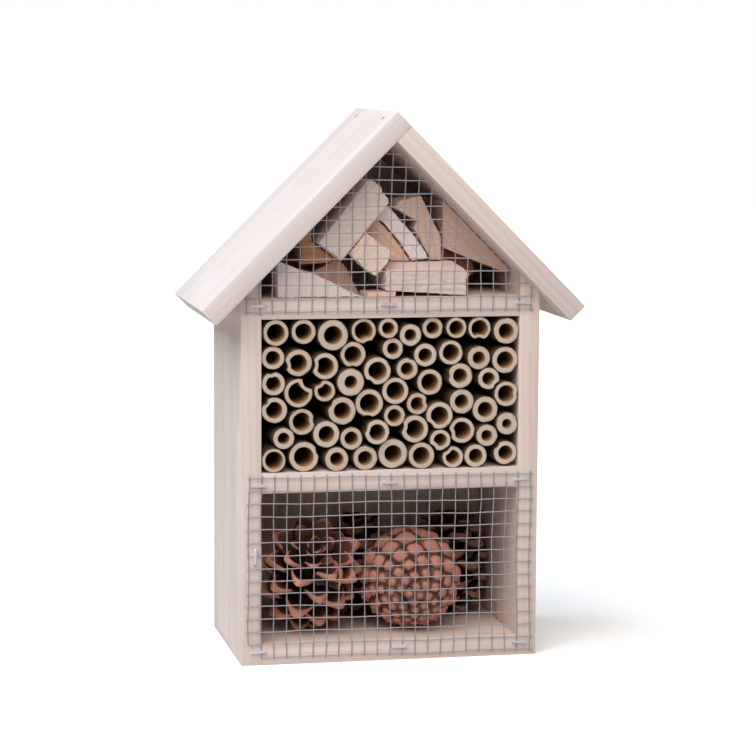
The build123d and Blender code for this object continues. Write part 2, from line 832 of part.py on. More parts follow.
os.makedirs("parts", exist_ok=True)
for name, node in nodes.items():
    node.part.label = name
    export_step(node.part, f"parts/{name}.step")
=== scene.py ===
"""Insect hotel: the looks of its boards, wire, bamboo tubes, offcuts and pine cones."""

import json
from contextlib import contextmanager
from math import atan2, cos, exp, pi, radians, sin, sqrt, tau
from random import Random

import bmesh
import bpy
import numpy as np
from mathutils import Matrix, Vector, noise

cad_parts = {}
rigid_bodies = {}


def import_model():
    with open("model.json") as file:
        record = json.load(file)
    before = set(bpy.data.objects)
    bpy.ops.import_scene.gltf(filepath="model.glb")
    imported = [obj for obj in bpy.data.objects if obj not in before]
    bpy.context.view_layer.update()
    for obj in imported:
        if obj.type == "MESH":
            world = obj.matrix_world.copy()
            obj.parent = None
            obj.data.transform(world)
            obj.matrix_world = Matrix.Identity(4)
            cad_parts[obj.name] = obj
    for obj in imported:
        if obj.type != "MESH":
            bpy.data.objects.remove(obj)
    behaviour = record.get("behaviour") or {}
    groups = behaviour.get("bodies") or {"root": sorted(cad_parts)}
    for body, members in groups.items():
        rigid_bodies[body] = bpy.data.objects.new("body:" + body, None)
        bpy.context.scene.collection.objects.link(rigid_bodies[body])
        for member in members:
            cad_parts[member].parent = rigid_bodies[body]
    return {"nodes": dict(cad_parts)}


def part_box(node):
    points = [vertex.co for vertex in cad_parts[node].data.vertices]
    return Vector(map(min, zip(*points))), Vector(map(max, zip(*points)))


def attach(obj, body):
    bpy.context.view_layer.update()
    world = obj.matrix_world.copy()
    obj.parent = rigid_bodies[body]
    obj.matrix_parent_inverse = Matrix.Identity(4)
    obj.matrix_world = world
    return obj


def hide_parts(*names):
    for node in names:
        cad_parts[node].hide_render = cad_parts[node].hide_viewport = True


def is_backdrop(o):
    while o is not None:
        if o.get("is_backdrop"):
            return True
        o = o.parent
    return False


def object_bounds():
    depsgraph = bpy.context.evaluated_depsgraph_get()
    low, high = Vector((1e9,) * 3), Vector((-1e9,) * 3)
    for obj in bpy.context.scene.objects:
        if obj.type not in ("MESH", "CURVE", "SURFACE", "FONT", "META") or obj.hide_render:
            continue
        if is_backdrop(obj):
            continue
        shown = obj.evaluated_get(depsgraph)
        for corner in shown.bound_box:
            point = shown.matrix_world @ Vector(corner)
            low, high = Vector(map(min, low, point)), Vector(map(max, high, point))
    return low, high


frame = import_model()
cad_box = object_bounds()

bl_info = {
    "name": "Insect Hotel",
    "version": (1, 0, 0),
    "blender": (4, 5, 0),
    "location": "View3D > Sidebar > Insect Hotel",
    "description": "Builds a gabled insect hotel with bamboo, offcuts and pine cones",
    "category": "Add Mesh",
}

MM = 0.001


def tone(red, green, blue):
    """A paint chip's display values as the linear colour that a finish takes."""
    chip = [value / 255 for value in (red, green, blue)]
    return [c / 12.92 if c <= 0.04045 else ((c + 0.055) / 1.055) ** 2.4 for c in chip]


def colour(name, chip, description):
    """Colour that can be changed in the panel."""
    return bpy.props.FloatVectorProperty(
        name=name,
        description=description,
        subtype="COLOR",
        size=3,
        min=0,
        max=1,
        default=tone(*chip),
    )


def size(name, millimetres, description):
    """Length that can be changed in the panel."""
    return bpy.props.FloatProperty(
        name=name,
        description=description,
        unit="LENGTH",
        min=0,
        precision=5,
        default=millimetres * MM,
    )


def share(name, value, description, most=1.0):
    """Plain number that can be changed in the panel."""
    return bpy.props.FloatProperty(
        name=name, description=description, min=0, max=most, default=value
    )


# ---------------------------------------------------------------- what can be changed
class BoardSettings(bpy.types.PropertyGroup):
    edge_ease: size("Eased Edge", 0.35, "Width that sandpaper takes off each edge")
    dent_radius: size("Nail Dent Radius", 1.2, "Radius of the dent round a nail head")
    dent_depth: size("Nail Dent Depth", 0.3, "Depth of the dent round a nail head")
    ring_width: size("Ring Width", 3.4, "Width of one year ring")
    wash: share("Whitewash", 0.7, "How much of the wood the whitewash covers")
    early: colour("Early Wood", (226, 200, 178), "Pale part of a year ring")
    late: colour("Late Wood", (190, 146, 116), "Dark part of a year ring")
    wash_tone: colour("Whitewash Tone", (240, 231, 230), "Colour of the whitewash")


class WireSettings(bpy.types.PropertyGroup):
    thickness: size("Wire", 0.7, "Thickness of the wire in the frame")
    drawn: size("Drawn Wire", 0.54, "Thickness that the wire was drawn to")
    sway: size("Sway", 0.45, "How far the wires wander from straight")
    shift: size("Shift", 1.2, "How far the mesh is stapled to the left")
    zinc: colour("Zinc", (198, 192, 196), "Colour of the galvanised wire")
    staple: colour("Staple", (246, 247, 252), "Colour of the staple wire")


class TubeSettings(bpy.types.PropertyGroup):
    columns: bpy.props.IntProperty(
        name="Columns", description="Faces round a tube", default=48, min=12, max=96
    )
    rim_ease: size("Rounded Rim", 0.28, "Rounding of the sawn rims")
    wander: size("Wander", 0.14, "Unevenness of the outside and the bore")
    end: colour("Sawn End", (216, 198, 184), "Colour of the sawn ends")
    skin: colour("Skin", (104, 84, 62), "Colour of the outer skin")
    bore: colour("Bore", (146, 114, 80), "Colour of the bore's wall")


class OffcutSettings(bpy.types.PropertyGroup):
    grain_size: size("Remesh", 0.42, "Size of the faces that the roughness is cut in")
    roughness: size("Roughness", 0.16, "Depth of the saw's marks")
    tear: size("Tear", 1.3, "Depth of the torn fibres at the ends")


class ConeSettings(bpy.types.PropertyGroup):
    lip: colour("Scale Lip", (220, 152, 128), "Thick end of a scale")
    # The blade and root colours are partly the scales' own darker wood and partly painted shade in
    # the gaps between scales and in the core.
    blade: colour("Scale Blade", (94, 50, 36), "Inner part of a scale")
    shade: colour("Scale Root", (34, 20, 18), "Root of a scale and the core")


class StageSettings(bpy.types.PropertyGroup):
    lens: bpy.props.FloatProperty(
        name="Lens", description="Focal length in millimetres", default=123.03, min=10
    )
    eye: bpy.props.FloatVectorProperty(
        name="Eye",
        description="Where the camera stands",
        subtype="TRANSLATION",
        unit="LENGTH",
        precision=5,
        default=(-0.26405, -1.25724, 0.29009),
    )
    turn: bpy.props.FloatProperty(
        name="Turn", description="Camera's turn to the right", subtype="ANGLE", default=0.2083
    )
    tilt: bpy.props.FloatProperty(
        name="Tilt", description="Camera's tilt upwards", subtype="ANGLE", default=-0.1202
    )
    roll: bpy.props.FloatProperty(
        name="Roll", description="Camera's roll", subtype="ANGLE", default=0.0057
    )
    sky: share("Room Light", 0.06, "Light that comes from all round", 4)
    glow: share("Paper Glow", 0.35, "Light that the floor paper gives by itself", 4)
    key: share("Key Light", 2.3, "Strength of the light from above on the left", 100)
    front: share("Front Light", 2.15, "Strength of the light from above in front", 100)


GROUPS = {
    "hotel_boards": BoardSettings,
    "hotel_wire": WireSettings,
    "hotel_tubes": TubeSettings,
    "hotel_offcuts": OffcutSettings,
    "hotel_cones": ConeSettings,
    "hotel_stage": StageSettings,
}


def settings(group):
    """Settings of this scene's hotel."""
    return getattr(bpy.context.scene, group)


# ---------------------------------------------------------------- working by hand
def clear_selection():
    """Nothing selected and no mesh open."""
    if bpy.context.object and bpy.context.object.mode != "OBJECT":
        bpy.ops.object.mode_set(mode="OBJECT")
    for thing in bpy.context.view_layer.objects:
        thing.select_set(False)


def take(*pieces):
    """Select these pieces alone; the first is the active one."""
    clear_selection()
    for piece in pieces:
        piece.select_set(True)
    bpy.context.view_layer.objects.active = pieces[0]


@contextmanager
def opened(piece, select="SELECT"):
    """The piece's mesh open on the bench."""
    take(piece)
    bpy.ops.object.mode_set(mode="EDIT")
    bpy.ops.mesh.select_mode(type="VERT")
    bpy.ops.mesh.select_all(action=select)
    yield
    bpy.ops.object.mode_set(mode="OBJECT")


def choose_faces(piece, test):
    """Leave only the faces that pass the test selected in the piece's mesh."""
    mesh = piece.data
    mesh.vertices.foreach_set("select", [False] * len(mesh.vertices))
    mesh.edges.foreach_set("select", [False] * len(mesh.edges))
    for face in mesh.polygons:
        face.select = bool(test(face))


@contextmanager
def opened_faces(piece, test):
    """The piece's mesh open with the faces that pass the test selected."""
    take(piece)
    choose_faces(piece, test)
    bpy.ops.object.mode_set(mode="EDIT")
    bpy.ops.mesh.select_mode(type="FACE")
    yield
    bpy.ops.object.mode_set(mode="OBJECT")


def named(piece, name):
    """The piece under its name."""
    piece.name = piece.data.name = name
    return piece


def settle(piece):
    """The piece's place, turn and size put into its mesh."""
    take(piece)
    bpy.ops.object.transform_apply(location=True, rotation=True, scale=True)
    return piece


def started(name, add, **sizes):
    """New piece from one of the ready-made shapes."""
    clear_selection()
    add(**sizes)
    return settle(named(bpy.context.object, name))


def blank(name, middle, sizes, turn=0.0):
    """Rectangular blank, turned about the front-to-back axis."""
    clear_selection()
    bpy.ops.mesh.primitive_cube_add(size=1, location=middle, rotation=(0, turn, 0))
    piece = named(bpy.context.object, name)
    piece.scale = sizes
    return settle(piece)


def saw(piece, through, off):
    """Saw the piece along a plane and drop what lies on the side that off points to."""
    with opened(piece):
        bpy.ops.mesh.bisect(plane_co=through, plane_no=off, use_fill=True, clear_outer=True)


def draw_out(*step):
    """Extrude what is selected by a step."""
    bpy.ops.mesh.extrude_region_move(TRANSFORM_OT_translate={"value": step})


def face_outwards():
    """Turn all faces of the open mesh outwards."""
    bpy.ops.mesh.select_all(action="SELECT")
    bpy.ops.mesh.normals_make_consistent(inside=False)


def use(piece, kind, **sizes):
    """Add a modifier with these sizes and apply it."""
    take(piece)
    modifier = piece.modifiers.new(kind.title(), kind)
    for key, value in sizes.items():
        setattr(modifier, key, value)
    bpy.ops.object.modifier_apply(modifier=modifier.name)


def ease(piece, width, segments=2, angle=30):
    """Round off the sharp edges."""
    use(piece, "BEVEL", width=width, segments=segments, angle_limit=radians(angle))


def smooth(piece, angle=35):
    """Smooth shading but for the sharp edges."""
    take(piece)
    bpy.ops.object.shade_smooth_by_angle(angle=radians(angle))


def copied(piece, name):
    """Copy of a piece with its own mesh."""
    made = bpy.data.objects.new(name, piece.data.copy())
    made.data.name = name
    bpy.context.scene.collection.objects.link(made)
    return made


def joined(pieces, name):
    """Several pieces as one."""
    take(*pieces)
    if len(pieces) > 1:
        bpy.ops.object.join()
    return named(bpy.context.object, name)


def scrap(*pieces):
    """Throw pieces away."""
    for piece in pieces:
        mesh = piece.data
        bpy.data.objects.remove(piece)
        bpy.data.meshes.remove(mesh)


def cad_copy(node, name):
    """Copy of a frame node with its loose faces merged."""
    piece = copied(frame["nodes"][node], name)
    piece.data.materials.clear()
    with opened(piece):
        bpy.ops.mesh.remove_doubles(threshold=1e-6)
        bpy.ops.mesh.dissolve_limited(angle_limit=radians(1))
    return piece


def loose_solids(node):
    """Copies of the solids of a frame node, each by itself."""
    with opened(cad_copy(node, "cad_solids")):
        bpy.ops.mesh.separate(type="LOOSE")
    return list(bpy.context.selected_objects)


def solids(node):
    """Each solid of a frame node as an array of its corners."""
    parts = loose_solids(node)
    corners = [np.array([v.co for v in part.data.vertices]) for part in parts]
    scrap(*parts)
    return corners


def span(corners):
    """Lowest and highest corner of a solid's box."""
    return Vector(corners.min(axis=0)), Vector(corners.max(axis=0))


def reshape(piece, move):
    """Move every vertex of the piece to where move puts it."""
    for vertex in piece.data.vertices:
        vertex.co = move(vertex.co)
    piece.data.update()


def mark(piece, name, values):
    """Write one number per vertex, for the finish to read."""
    layer = piece.data.attributes.new(name, "FLOAT", "POINT")
    layer.data.foreach_set("value", values)


def deliver(piece, nodes, slot, *finishes):
    """Stand the finished piece for its frame nodes."""
    if finishes:
        piece.data.materials.clear()
        for finish in finishes:
            piece.data.materials.append(finish)
    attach(piece, "root")
    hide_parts(*nodes)
    return piece


def seeded(*words):
    """Steady random numbers for one piece."""
    return Random("/".join(str(word) for word in words))


# ---------------------------------------------------------------- finishes
class Field:
    """A value that changes over a surface; sums of fields add maths nodes."""

    def __init__(self, finish, socket):
        self.finish = finish
        self.socket = socket

    def sum(self, operation, *values):
        return self.finish.node("ShaderNodeMath", {"operation": operation}, *values)

    def __add__(self, other):
        return self.sum("ADD", self, other)

    def __sub__(self, other):
        return self.sum("SUBTRACT", self, other)

    def __rsub__(self, other):
        return self.sum("SUBTRACT", other, self)

    def __mul__(self, other):
        return self.sum("MULTIPLY", self, other)

    def __truediv__(self, other):
        return self.sum("DIVIDE", self, other)

    def __pow__(self, other):
        return self.sum("POWER", self, other)

    def fraction(self):
        return self.sum("FRACT", self)


class Finish:
    """A material under way."""

    def __init__(self, name):
        self.material = bpy.data.materials.new(name)
        self.material.use_nodes = True
        self.tree = self.material.node_tree
        self.tree.nodes.clear()

    def node(self, kind, setup=None, *values, out=0, **named_values):
        """Add a node: its settings first, then the values and links of its sockets."""
        made = self.tree.nodes.new(kind)
        for key, value in (setup or {}).items():
            setattr(made, key, value)
        sockets = [*enumerate(values)]
        sockets += [(key.replace("_", " "), value) for key, value in named_values.items()]
        for key, value in sockets:
            if isinstance(value, Field):
                self.tree.links.new(value.socket, made.inputs[key])
            elif value is not None:
                made.inputs[key].default_value = value
        return Field(self, made.outputs[out]) if made.outputs else None

    def place(self, turn=(0, 0, 0), shift=(0, 0, 0)):
        """Place on the piece, turned and shifted."""
        here = self.node("ShaderNodeTexCoord", out="Object")
        return self.node("ShaderNodeMapping", None, here, Rotation=turn, Location=shift)

    def split(self, vector):
        """The three numbers of a place."""
        parts = self.node("ShaderNodeSeparateXYZ", None, vector).socket.node
        return [Field(self, out) for out in parts.outputs]

    def stretch(self, vector, *sizes):
        """Place stretched by a factor along each axis."""
        return self.node("ShaderNodeVectorMath", {"operation": "MULTIPLY"}, vector, sizes)

    def noise(self, vector, scale=1.0, detail=2.0, roughness=0.5):
        """Cloudy pattern from 0 to 1."""
        sizes = {"Scale": scale, "Detail": detail, "Roughness": roughness}
        return self.node("ShaderNodeTexNoise", None, Vector=vector, **sizes, out="Fac")

    def step(self, value, low, high):
        """Smooth step from 0 at low to 1 at high."""
        kind = {"interpolation_type": "SMOOTHSTEP"}
        return self.node("ShaderNodeMapRange", kind, value, low, high, 0.0, 1.0)

    def mix(self, amount, a, b, blend="MIX"):
        """Colour between a and b."""
        a, b = ((*c, 1) if not isinstance(c, Field) and len(c) == 3 else c for c in (a, b))
        kind = {"data_type": "RGBA", "blend_type": blend}
        return self.node("ShaderNodeMix", kind, amount, *[None] * 5, a, b, out=2)

    def written(self, name):
        """Number written on the piece's vertices."""
        return self.node("ShaderNodeAttribute", {"attribute_name": name}, out="Fac")

    def bump(self, height, depth, strength=1.0):
        """Relief of this depth."""
        return self.node("ShaderNodeBump", None, Strength=strength, Distance=depth, Height=height)

    def done(self, tint, roughness, normal=None, metallic=0.0, gloss=0.3, **glow):
        """Close the material with its surface."""
        surface = self.node(
            "ShaderNodeBsdfPrincipled",
            None,
            Base_Color=tint,
            Roughness=roughness,
            Metallic=metallic,
            Normal=normal,
            Specular_IOR_Level=gloss,
            **glow,
        )
        self.node("ShaderNodeOutputMaterial", None, surface)
        return self.material


UP = (0, pi / 2, 0)              # turns that lay a board's grain along X
DOWN_LEFT = (0, radians(45), 0)
DOWN_RIGHT = (0, radians(-45), 0)
LEVEL = (0, 0, 0)
LONG_STREAKS = (42, 520, 520)    # how closely dark streaks lie along and across the grain
SPECKLES = (700, 800, 800)
STREAK_TONE = (112, 84, 66)


def wood(
    name,
    turn,
    pith,
    early,
    late,
    ring_width,
    ring_show=0.5,
    fibre_show=0.35,
    wash=0.0,
    wash_tone=None,
    streaks=0.0,
    fleck=LONG_STREAKS,
    relief=0.12,
):
    """Solid wood: year rings round a far pith, fibres, a whitewash veil and dark streaks."""
    finish = Finish(name)
    place = finish.place(turn, pith)
    _, across, through = finish.split(place)
    wander = finish.noise(finish.stretch(place, 6, 26, 26), detail=3)
    radius = (across * across + through * through) ** 0.5 + wander * 0.011
    phase = (radius / ring_width).fraction()
    late_part = finish.step(phase, 0.3, 0.92) * (1 - finish.step(phase, 0.93, 1.0))
    fibres = finish.noise(finish.stretch(place, 38, 1100, 1100), detail=4, roughness=0.62)
    cloud = finish.noise(finish.stretch(place, 14, 60, 60), detail=3)
    rings = late_part * (ring_show * 0.55) + cloud * (ring_show * 0.6)
    tint = finish.mix(rings + (fibres - 0.5) * fibre_show, early, late)
    if wash:
        cover = (cloud * 0.5 + 0.75) * wash + (fibres - 0.5) * 0.3 - late_part * 0.07
        tint = finish.mix(cover, tint, wash_tone)
    if streaks:
        flecks = finish.step(finish.noise(finish.stretch(place, *fleck)), 0.78 - streaks, 0.84)
        tint = finish.mix(flecks * 0.6, tint, tone(*STREAK_TONE))
    normal = finish.bump(fibres * 0.7 - late_part * 0.3, relief * MM, 0.6)
    return finish.done(tint, fibres * 0.2 + 0.65, normal, gloss=0.22)


BOUNCE_WARMTH = (0.02, 0.10, 0.2)       # red, green and blue that the wash lacks at full warmth, a yellowing that is partly painted warm bounce light in shade


def board_wood(name, turn, pith, wash, bounce_warmth, streaks=0.0):
    """Whitewashed board wood; its warmth yellows the wash, partly the wood showing through and
    partly painted warm bounce light on shaded boards.
    """
    sizes = settings("hotel_boards")
    wash_tone = [w * (1 - bounce_warmth * lack) for w, lack in zip(sizes.wash_tone, BOUNCE_WARMTH)]
    grain = (sizes.early, sizes.late, sizes.ring_width)
    wash *= sizes.wash
    return wood(name, turn, pith, *grain, wash=wash, wash_tone=wash_tone, streaks=streaks)


def metal(name, tint, metallic, roughness, spots=0.25, gloss=0.5):
    """Dull metal with a cloudy surface."""
    finish = Finish(name)
    cloud = finish.noise(finish.place(), 700, 3)
    dull = [c * (1 - spots) for c in tint]
    shine = finish.mix(cloud, dull, tint)
    normal = finish.bump(cloud, 0.03 * MM)
    return finish.done(shine, cloud * 0.25 + roughness, normal, metallic, gloss)


# ---------------------------------------------------------------- boards
def nail_heads(node):
    """Head middle and outward direction of every nail of a node."""
    heads = []
    for corners in solids(node):
        middle = corners.mean(axis=0)
        lengths = np.ptp(corners, axis=0)
        side = -1 if node == "ridge_nails" else np.sign(middle[0])
        level = lengths[0] > 2 * lengths[2]
        out = np.array([side, 0, 0]) if level else np.array([side, 0, 1]) / sqrt(2)
        reach = (corners @ out).max() - middle @ out
        heads.append((Vector(middle + out * reach), Vector(out)))
    return heads


def dent(board, heads):
    """Sink the wood round nail heads."""
    sizes = settings("hotel_boards")
    above = 0.4 * MM                 # how far the cutter stands out of the board
    cutters = [
        started(
            "dent",
            bpy.ops.mesh.primitive_cone_add,
            vertices=20,
            radius1=sizes.dent_radius * 0.8,
            radius2=sizes.dent_radius * 1.5,
            depth=sizes.dent_depth + above,
            location=place + out * (above - sizes.dent_depth) / 2,
            rotation=out.to_track_quat("Z", "Y").to_euler(),
        )
        for place, out in heads
    ]
    cutter = joined(cutters, "dents")
    use(board, "BOOLEAN", operation="DIFFERENCE", object=cutter, solver="EXACT")
    scrap(cutter)


def heads_in(board, *nodes):
    """The nail heads that lie in this board's surface."""
    low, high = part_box(board)
    near = 0.5 * MM
    return [
        head
        for node in nodes
        for head in nail_heads(node)
        if all(a - near <= c <= b + near for a, c, b in zip(low, head[0], high))
    ]


def make_board(node, finish, heads=(), shape=None):
    """Straight board between its box's corners, shaped, eased, dented and finished."""
    low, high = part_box(node)
    board = blank(f"{node}_wood", (low + high) / 2, high - low)
    if shape:
        shape(board)
    ease(board, settings("hotel_boards").edge_ease)
    if heads:
        dent(board, heads)
    smooth(board)
    deliver(board, [node], "body_wood", finish)


class INSECTHOTEL_OT_body_boards(bpy.types.Operator):
    """Side panels, bottom board and the two shelves"""

    bl_idname = "insecthotel.body_boards"
    bl_label = "Body Boards"

    def execute(self, context):
        # Warmth per board is partly painted warm bounce light: the right panel, seen in the shaded
        # room, is warmer than the lit left panel.
        for node, side, pith, bounce_warmth in (
            ("left_side_panel", -1, (0.3, 0.021, 0.09), 0.25),
            ("right_side_panel", 1, (0.1, -0.034, -0.035), 0.55),
        ):
            low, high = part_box(node)
            inner = low.x if side > 0 else high.x

            def shape(board):
                saw(board, (inner, 0, high.z), (side, 0, 1))

            heads = heads_in(node, "shelf_nails", "back_panel_nails")
            finish = board_wood(f"{node}_whitewash", UP, pith, 0.85, bounce_warmth)
            make_board(node, finish, heads, shape)
        for node, pith in (
            ("bottom_board", (0.2, 0.03, 0.05)),
            ("lower_shelf", (0.4, 0.05, -0.13)),
            ("upper_shelf", (0.7, 0.036, -0.22)),
        ):
            make_board(node, board_wood(f"{node}_whitewash", LEVEL, pith, 0.85, 0.4))
        return {"FINISHED"}


class INSECTHOTEL_OT_back_panel(bpy.types.Operator):
    """Back panel, with the pocket behind the hanger"""

    bl_idname = "insecthotel.back_panel"
    bl_label = "Back Panel"

    def execute(self, context):
        board = cad_copy("back_panel", "back_panel_wood")
        ease(board, 0.2 * MM)
        smooth(board)
        # The back panel's thinner, warmer wash is partly painted shade deep in the rooms.
        finish = board_wood("back_panel_whitewash", UP, (0.1, 0.05, 0.02), 0.7, 0.8)
        deliver(board, ["back_panel"], "back_wood", finish)
        return {"FINISHED"}


class INSECTHOTEL_OT_roof(bpy.types.Operator):
    """The two roof boards, one lapped over the other at the ridge"""

    bl_idname = "insecthotel.roof"
    bl_label = "Roof"

    def execute(self, context):
        low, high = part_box("roof_left_board")
        thickness = high.x * sqrt(2)
        length = -low.x * sqrt(2)
        # Painted light: the left board's thicker wash stands for the key light on the left slope,
        # the right board's thinner wash for the duller right slope; both take little warmth as lit
        # boards.
        left = ("eave_nails", "ridge_nails"), DOWN_LEFT, (0.5, 0.012, 0.02), 1.15
        right = ("eave_nails",), DOWN_RIGHT, (0.9, -0.06, -0.33), 0.8
        for side, node, lap, (nails, grain, pith, wash) in (
            (-1, "roof_left_board", 0, left),
            (1, "roof_right_board", thickness, right),
        ):
            along = (length + lap) / 2
            middle = Vector((0, (low.y + high.y) / 2, high.z))
            middle += Vector((side * (along - thickness / 2), 0, -along - thickness / 2)) / sqrt(2)
            sizes = (length - lap, high.y - low.y, thickness)
            board = blank(f"{node}_wood", middle, sizes, radians(45 * side))
            ease(board, settings("hotel_boards").edge_ease)
            dent(board, heads_in(node, *nails))
            smooth(board)
            finish = board_wood(f"{node}_whitewash", grain, pith, wash, 0.1, streaks=0.02)
            deliver(board, [node], "roof_wood", finish)
        return {"FINISHED"}


# ---------------------------------------------------------------- nails and hanger
def paint(node, finish):
    """Give a frame node that is shown as it is its finish."""
    materials = frame["nodes"][node].data.materials
    materials.clear()
    materials.append(finish)


def cross_screw(low, high):
    """Countersunk screw with a cross slot, its head towards +Y."""
    middle = (low + high) / 2
    head = (high.x - low.x) / 2
    shank = head / 2
    screw = started(
        "screw",
        bpy.ops.mesh.primitive_cylinder_add,
        vertices=28,
        radius=shank,
        depth=high.y - low.y,
        location=middle,
        rotation=(-pi / 2, 0, 0),
    )
    with opened(screw):
        neck = high.y - (head - shank)
        bpy.ops.mesh.bisect(plane_co=(0, neck, 0), plane_no=(0, 1, 0))
    with opened_faces(screw, lambda face: face.center.y > high.y - 1e-5):
        wider = head / shank
        bpy.ops.transform.resize(
            value=(wider, 1, wider), center_override=(middle.x, high.y, middle.z)
        )
    for turn in (0.3, 0.3 + pi / 2):
        sizes = (head * 1.3, head * 0.8, head * 0.22)
        slot = blank("slot", (middle.x, high.y, middle.z), sizes, turn)
        use(screw, "BOOLEAN", operation="DIFFERENCE", object=slot, solver="EXACT")
        scrap(slot)
    ease(screw, 0.08 * MM, 2, 25)
    return screw


class INSECTHOTEL_OT_nails(bpy.types.Operator):
    """Steel finish for the nails, some painted over with the wash"""

    bl_idname = "insecthotel.nails"
    bl_label = "Nails"

    def execute(self, context):
        steel = metal("nail_steel", tone(150, 140, 138), 0.5, 0.35)
        painted = metal("washed_nail", tone(214, 204, 200), 0.0, 0.6, 0.1, 0.2)
        paint("ridge_nails", steel)
        for node in ("shelf_nails", "back_panel_nails", "eave_nails"):
            paint(node, painted)
        return {"FINISHED"}


class INSECTHOTEL_OT_hanger(bpy.types.Operator):
    """Zinc finish for the hanger plate, and its two cross-head screws"""

    bl_idname = "insecthotel.hanger"
    bl_label = "Hanger"

    def execute(self, context):
        paint("hanger_plate", metal("hanger_zinc", tone(176, 178, 180), 0.75, 0.3))
        screws = [cross_screw(*span(corners)) for corners in solids("hanger_screws")]
        made = joined(screws, "hanger_cross_screws")
        smooth(made)
        finish = metal("screw_zinc", tone(196, 190, 176), 0.8, 0.25)
        deliver(made, ["hanger_screws"], "hanger_zinc", finish)
        return {"FINISHED"}


# ---------------------------------------------------------------- wire mesh
def sway(x, z, seed):
    """How the mesh as a whole wanders at a place, across and up."""
    reach = settings("hotel_wire").sway

    def drift(layer):
        far = noise.noise(Vector((x * 90, z * 90, layer + 7))) * 0.45
        return noise.noise(Vector((x * 34, z * 34, layer))) + far

    return drift(seed + 0.5) * reach * 1.6, drift(seed + 31.9) * reach * 1.3


WIRE_STEPS = 44                  # lengths that a wire is bent in


def straight_wire(radius):
    """Round wire along X, of length 1 with its middle at the origin."""
    wire = started(
        "mesh_wire",
        bpy.ops.mesh.primitive_circle_add,
        vertices=8,
        radius=radius,
        fill_type="NGON",
        location=(-0.5, 0, 0),
        rotation=(0, pi / 2, 0),
    )
    with opened(wire):
        for _ in range(WIRE_STEPS):
            draw_out(1 / WIRE_STEPS, 0, 0)
        face_outwards()
    return wire


def wire_runs(node):
    """Every wire of a mesh node: whether it stands, its place, its two ends and its depth."""
    corners = np.vstack(solids(node))
    thick = settings("hotel_wire").thickness
    back, front = corners[:, 1].max(), corners[:, 1].min()
    upright = corners[corners[:, 1] > back - 1e-5]
    level = corners[corners[:, 1] < front + 1e-5]
    for standing, bars, across, along, depth in (
        (True, upright, 0, 2, back - thick / 2),
        (False, level, 2, 0, front + thick / 2),
    ):
        for at in middles(bars[:, across], thick):
            near = bars[abs(bars[:, across] - at) < thick * 0.6]
            if len(near):
                yield standing, at, near[:, along].min(), near[:, along].max(), depth


def middles(values, thickness):
    """Middles of the bars whose two edges are among these values."""
    edges = sorted({round(v / MM, 2) for v in values})
    return [
        low * MM + thickness / 2
        for low in edges
        if any(abs(high - low - thickness / MM) < 0.04 for high in edges)
    ]


def wire_mesh(node, name, seed, twist):
    """Welded mesh of round wires, in the places of the node's wires."""
    sizes = settings("hotel_wire")
    long_wire = straight_wire(sizes.drawn / 2)
    wires = []
    rng = seeded(name)
    for standing, at, start, end, depth in wire_runs(node):
        wire = copied(long_wire, "wire")
        kink = rng.uniform(0, 50)
        length = end - start

        def lay(co):
            along = start + (co.x + 0.5) * length
            bend = noise.noise(Vector((along * 120, kink, 0))) * 0.12 * MM
            bend += noise.noise(Vector((along * 40, kink, 9))) * 0.15 * MM
            x, z = (at + bend, along) if standing else (along, at + bend)
            dx, dz = sway(x, z, seed)
            tx, tz = twist(x, z)
            if standing:
                return Vector((x + dx + tx + co.y, depth + co.z, z + dz + tz))
            return Vector((x + dx + tx, depth + co.y, z + dz + tz + co.z))

        reshape(wire, lay)
        wires.append(wire)
    scrap(long_wire)
    mesh = joined(wires, name)
    with opened(mesh):
        face_outwards()
    smooth(mesh, 60)
    finish = metal("galvanised_wire", sizes.zinc, 0.55, 0.3, 0.35)
    deliver(mesh, [node], "mesh_wire", finish)


class INSECTHOTEL_OT_wire_mesh(bpy.types.Operator):
    """The two welded wire meshes"""

    bl_idname = "insecthotel.wire_mesh"
    bl_label = "Wire Mesh"

    def execute(self, context):
        shift = settings("hotel_wire").shift
        low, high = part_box("upper_mesh")
        lean = 1.8 * MM                  # to the right, from the loft mesh's foot to its top
        slope = -7 * MM                  # of the room mesh, for each metre to the right

        def loft_twist(x, z):
            rise = (z - low.z) / (high.z - low.z)
            return lean * max(0.0, rise - 0.25) - shift, 0.0

        def room_twist(x, z):
            return 0.0, slope * x

        wire_mesh("upper_mesh", "loft_mesh_wires", 3, loft_twist)
        wire_mesh("lower_mesh", "cone_room_mesh_wires", 11, room_twist)
        return {"FINISHED"}


# ---------------------------------------------------------------- staples
STAPLE_WIRE = 0.7 * MM
STAPLE_BEND = 0.45 * MM          # radius of its two outer corners


def staple_blank(crown, band, leg):
    """Staple lying level: a flat crown with two legs bent back into the wood."""
    piece = blank("staple", (0, STAPLE_WIRE / 2, 0), (crown, STAPLE_WIRE, band))
    reach = crown / 2 - STAPLE_WIRE
    for side in (-1, 1):
        with opened(piece):
            bpy.ops.mesh.bisect(plane_co=(side * reach, 0, 0), plane_no=(1, 0, 0))

    def leg_face(face):
        return face.normal.y > 0.9 and abs(face.center.x) > reach

    def at_corner(co):
        return abs(abs(co.x) - crown / 2) < 1e-6 and abs(co.y) < 1e-6

    with opened_faces(piece, leg_face):
        draw_out(0, leg, 0)
    with opened(piece, "DESELECT"):
        bpy.ops.mesh.select_mode(type="EDGE")
        work = bmesh.from_edit_mesh(piece.data)
        for edge in work.edges:
            if all(at_corner(vertex.co) for vertex in edge.verts):
                edge.select_set(True)
        bmesh.update_edit_mesh(piece.data)
        bpy.ops.mesh.bevel(offset=STAPLE_BEND, segments=3)
    ease(piece, 0.14 * MM, 2, 40)
    smooth(piece, 50)
    return piece


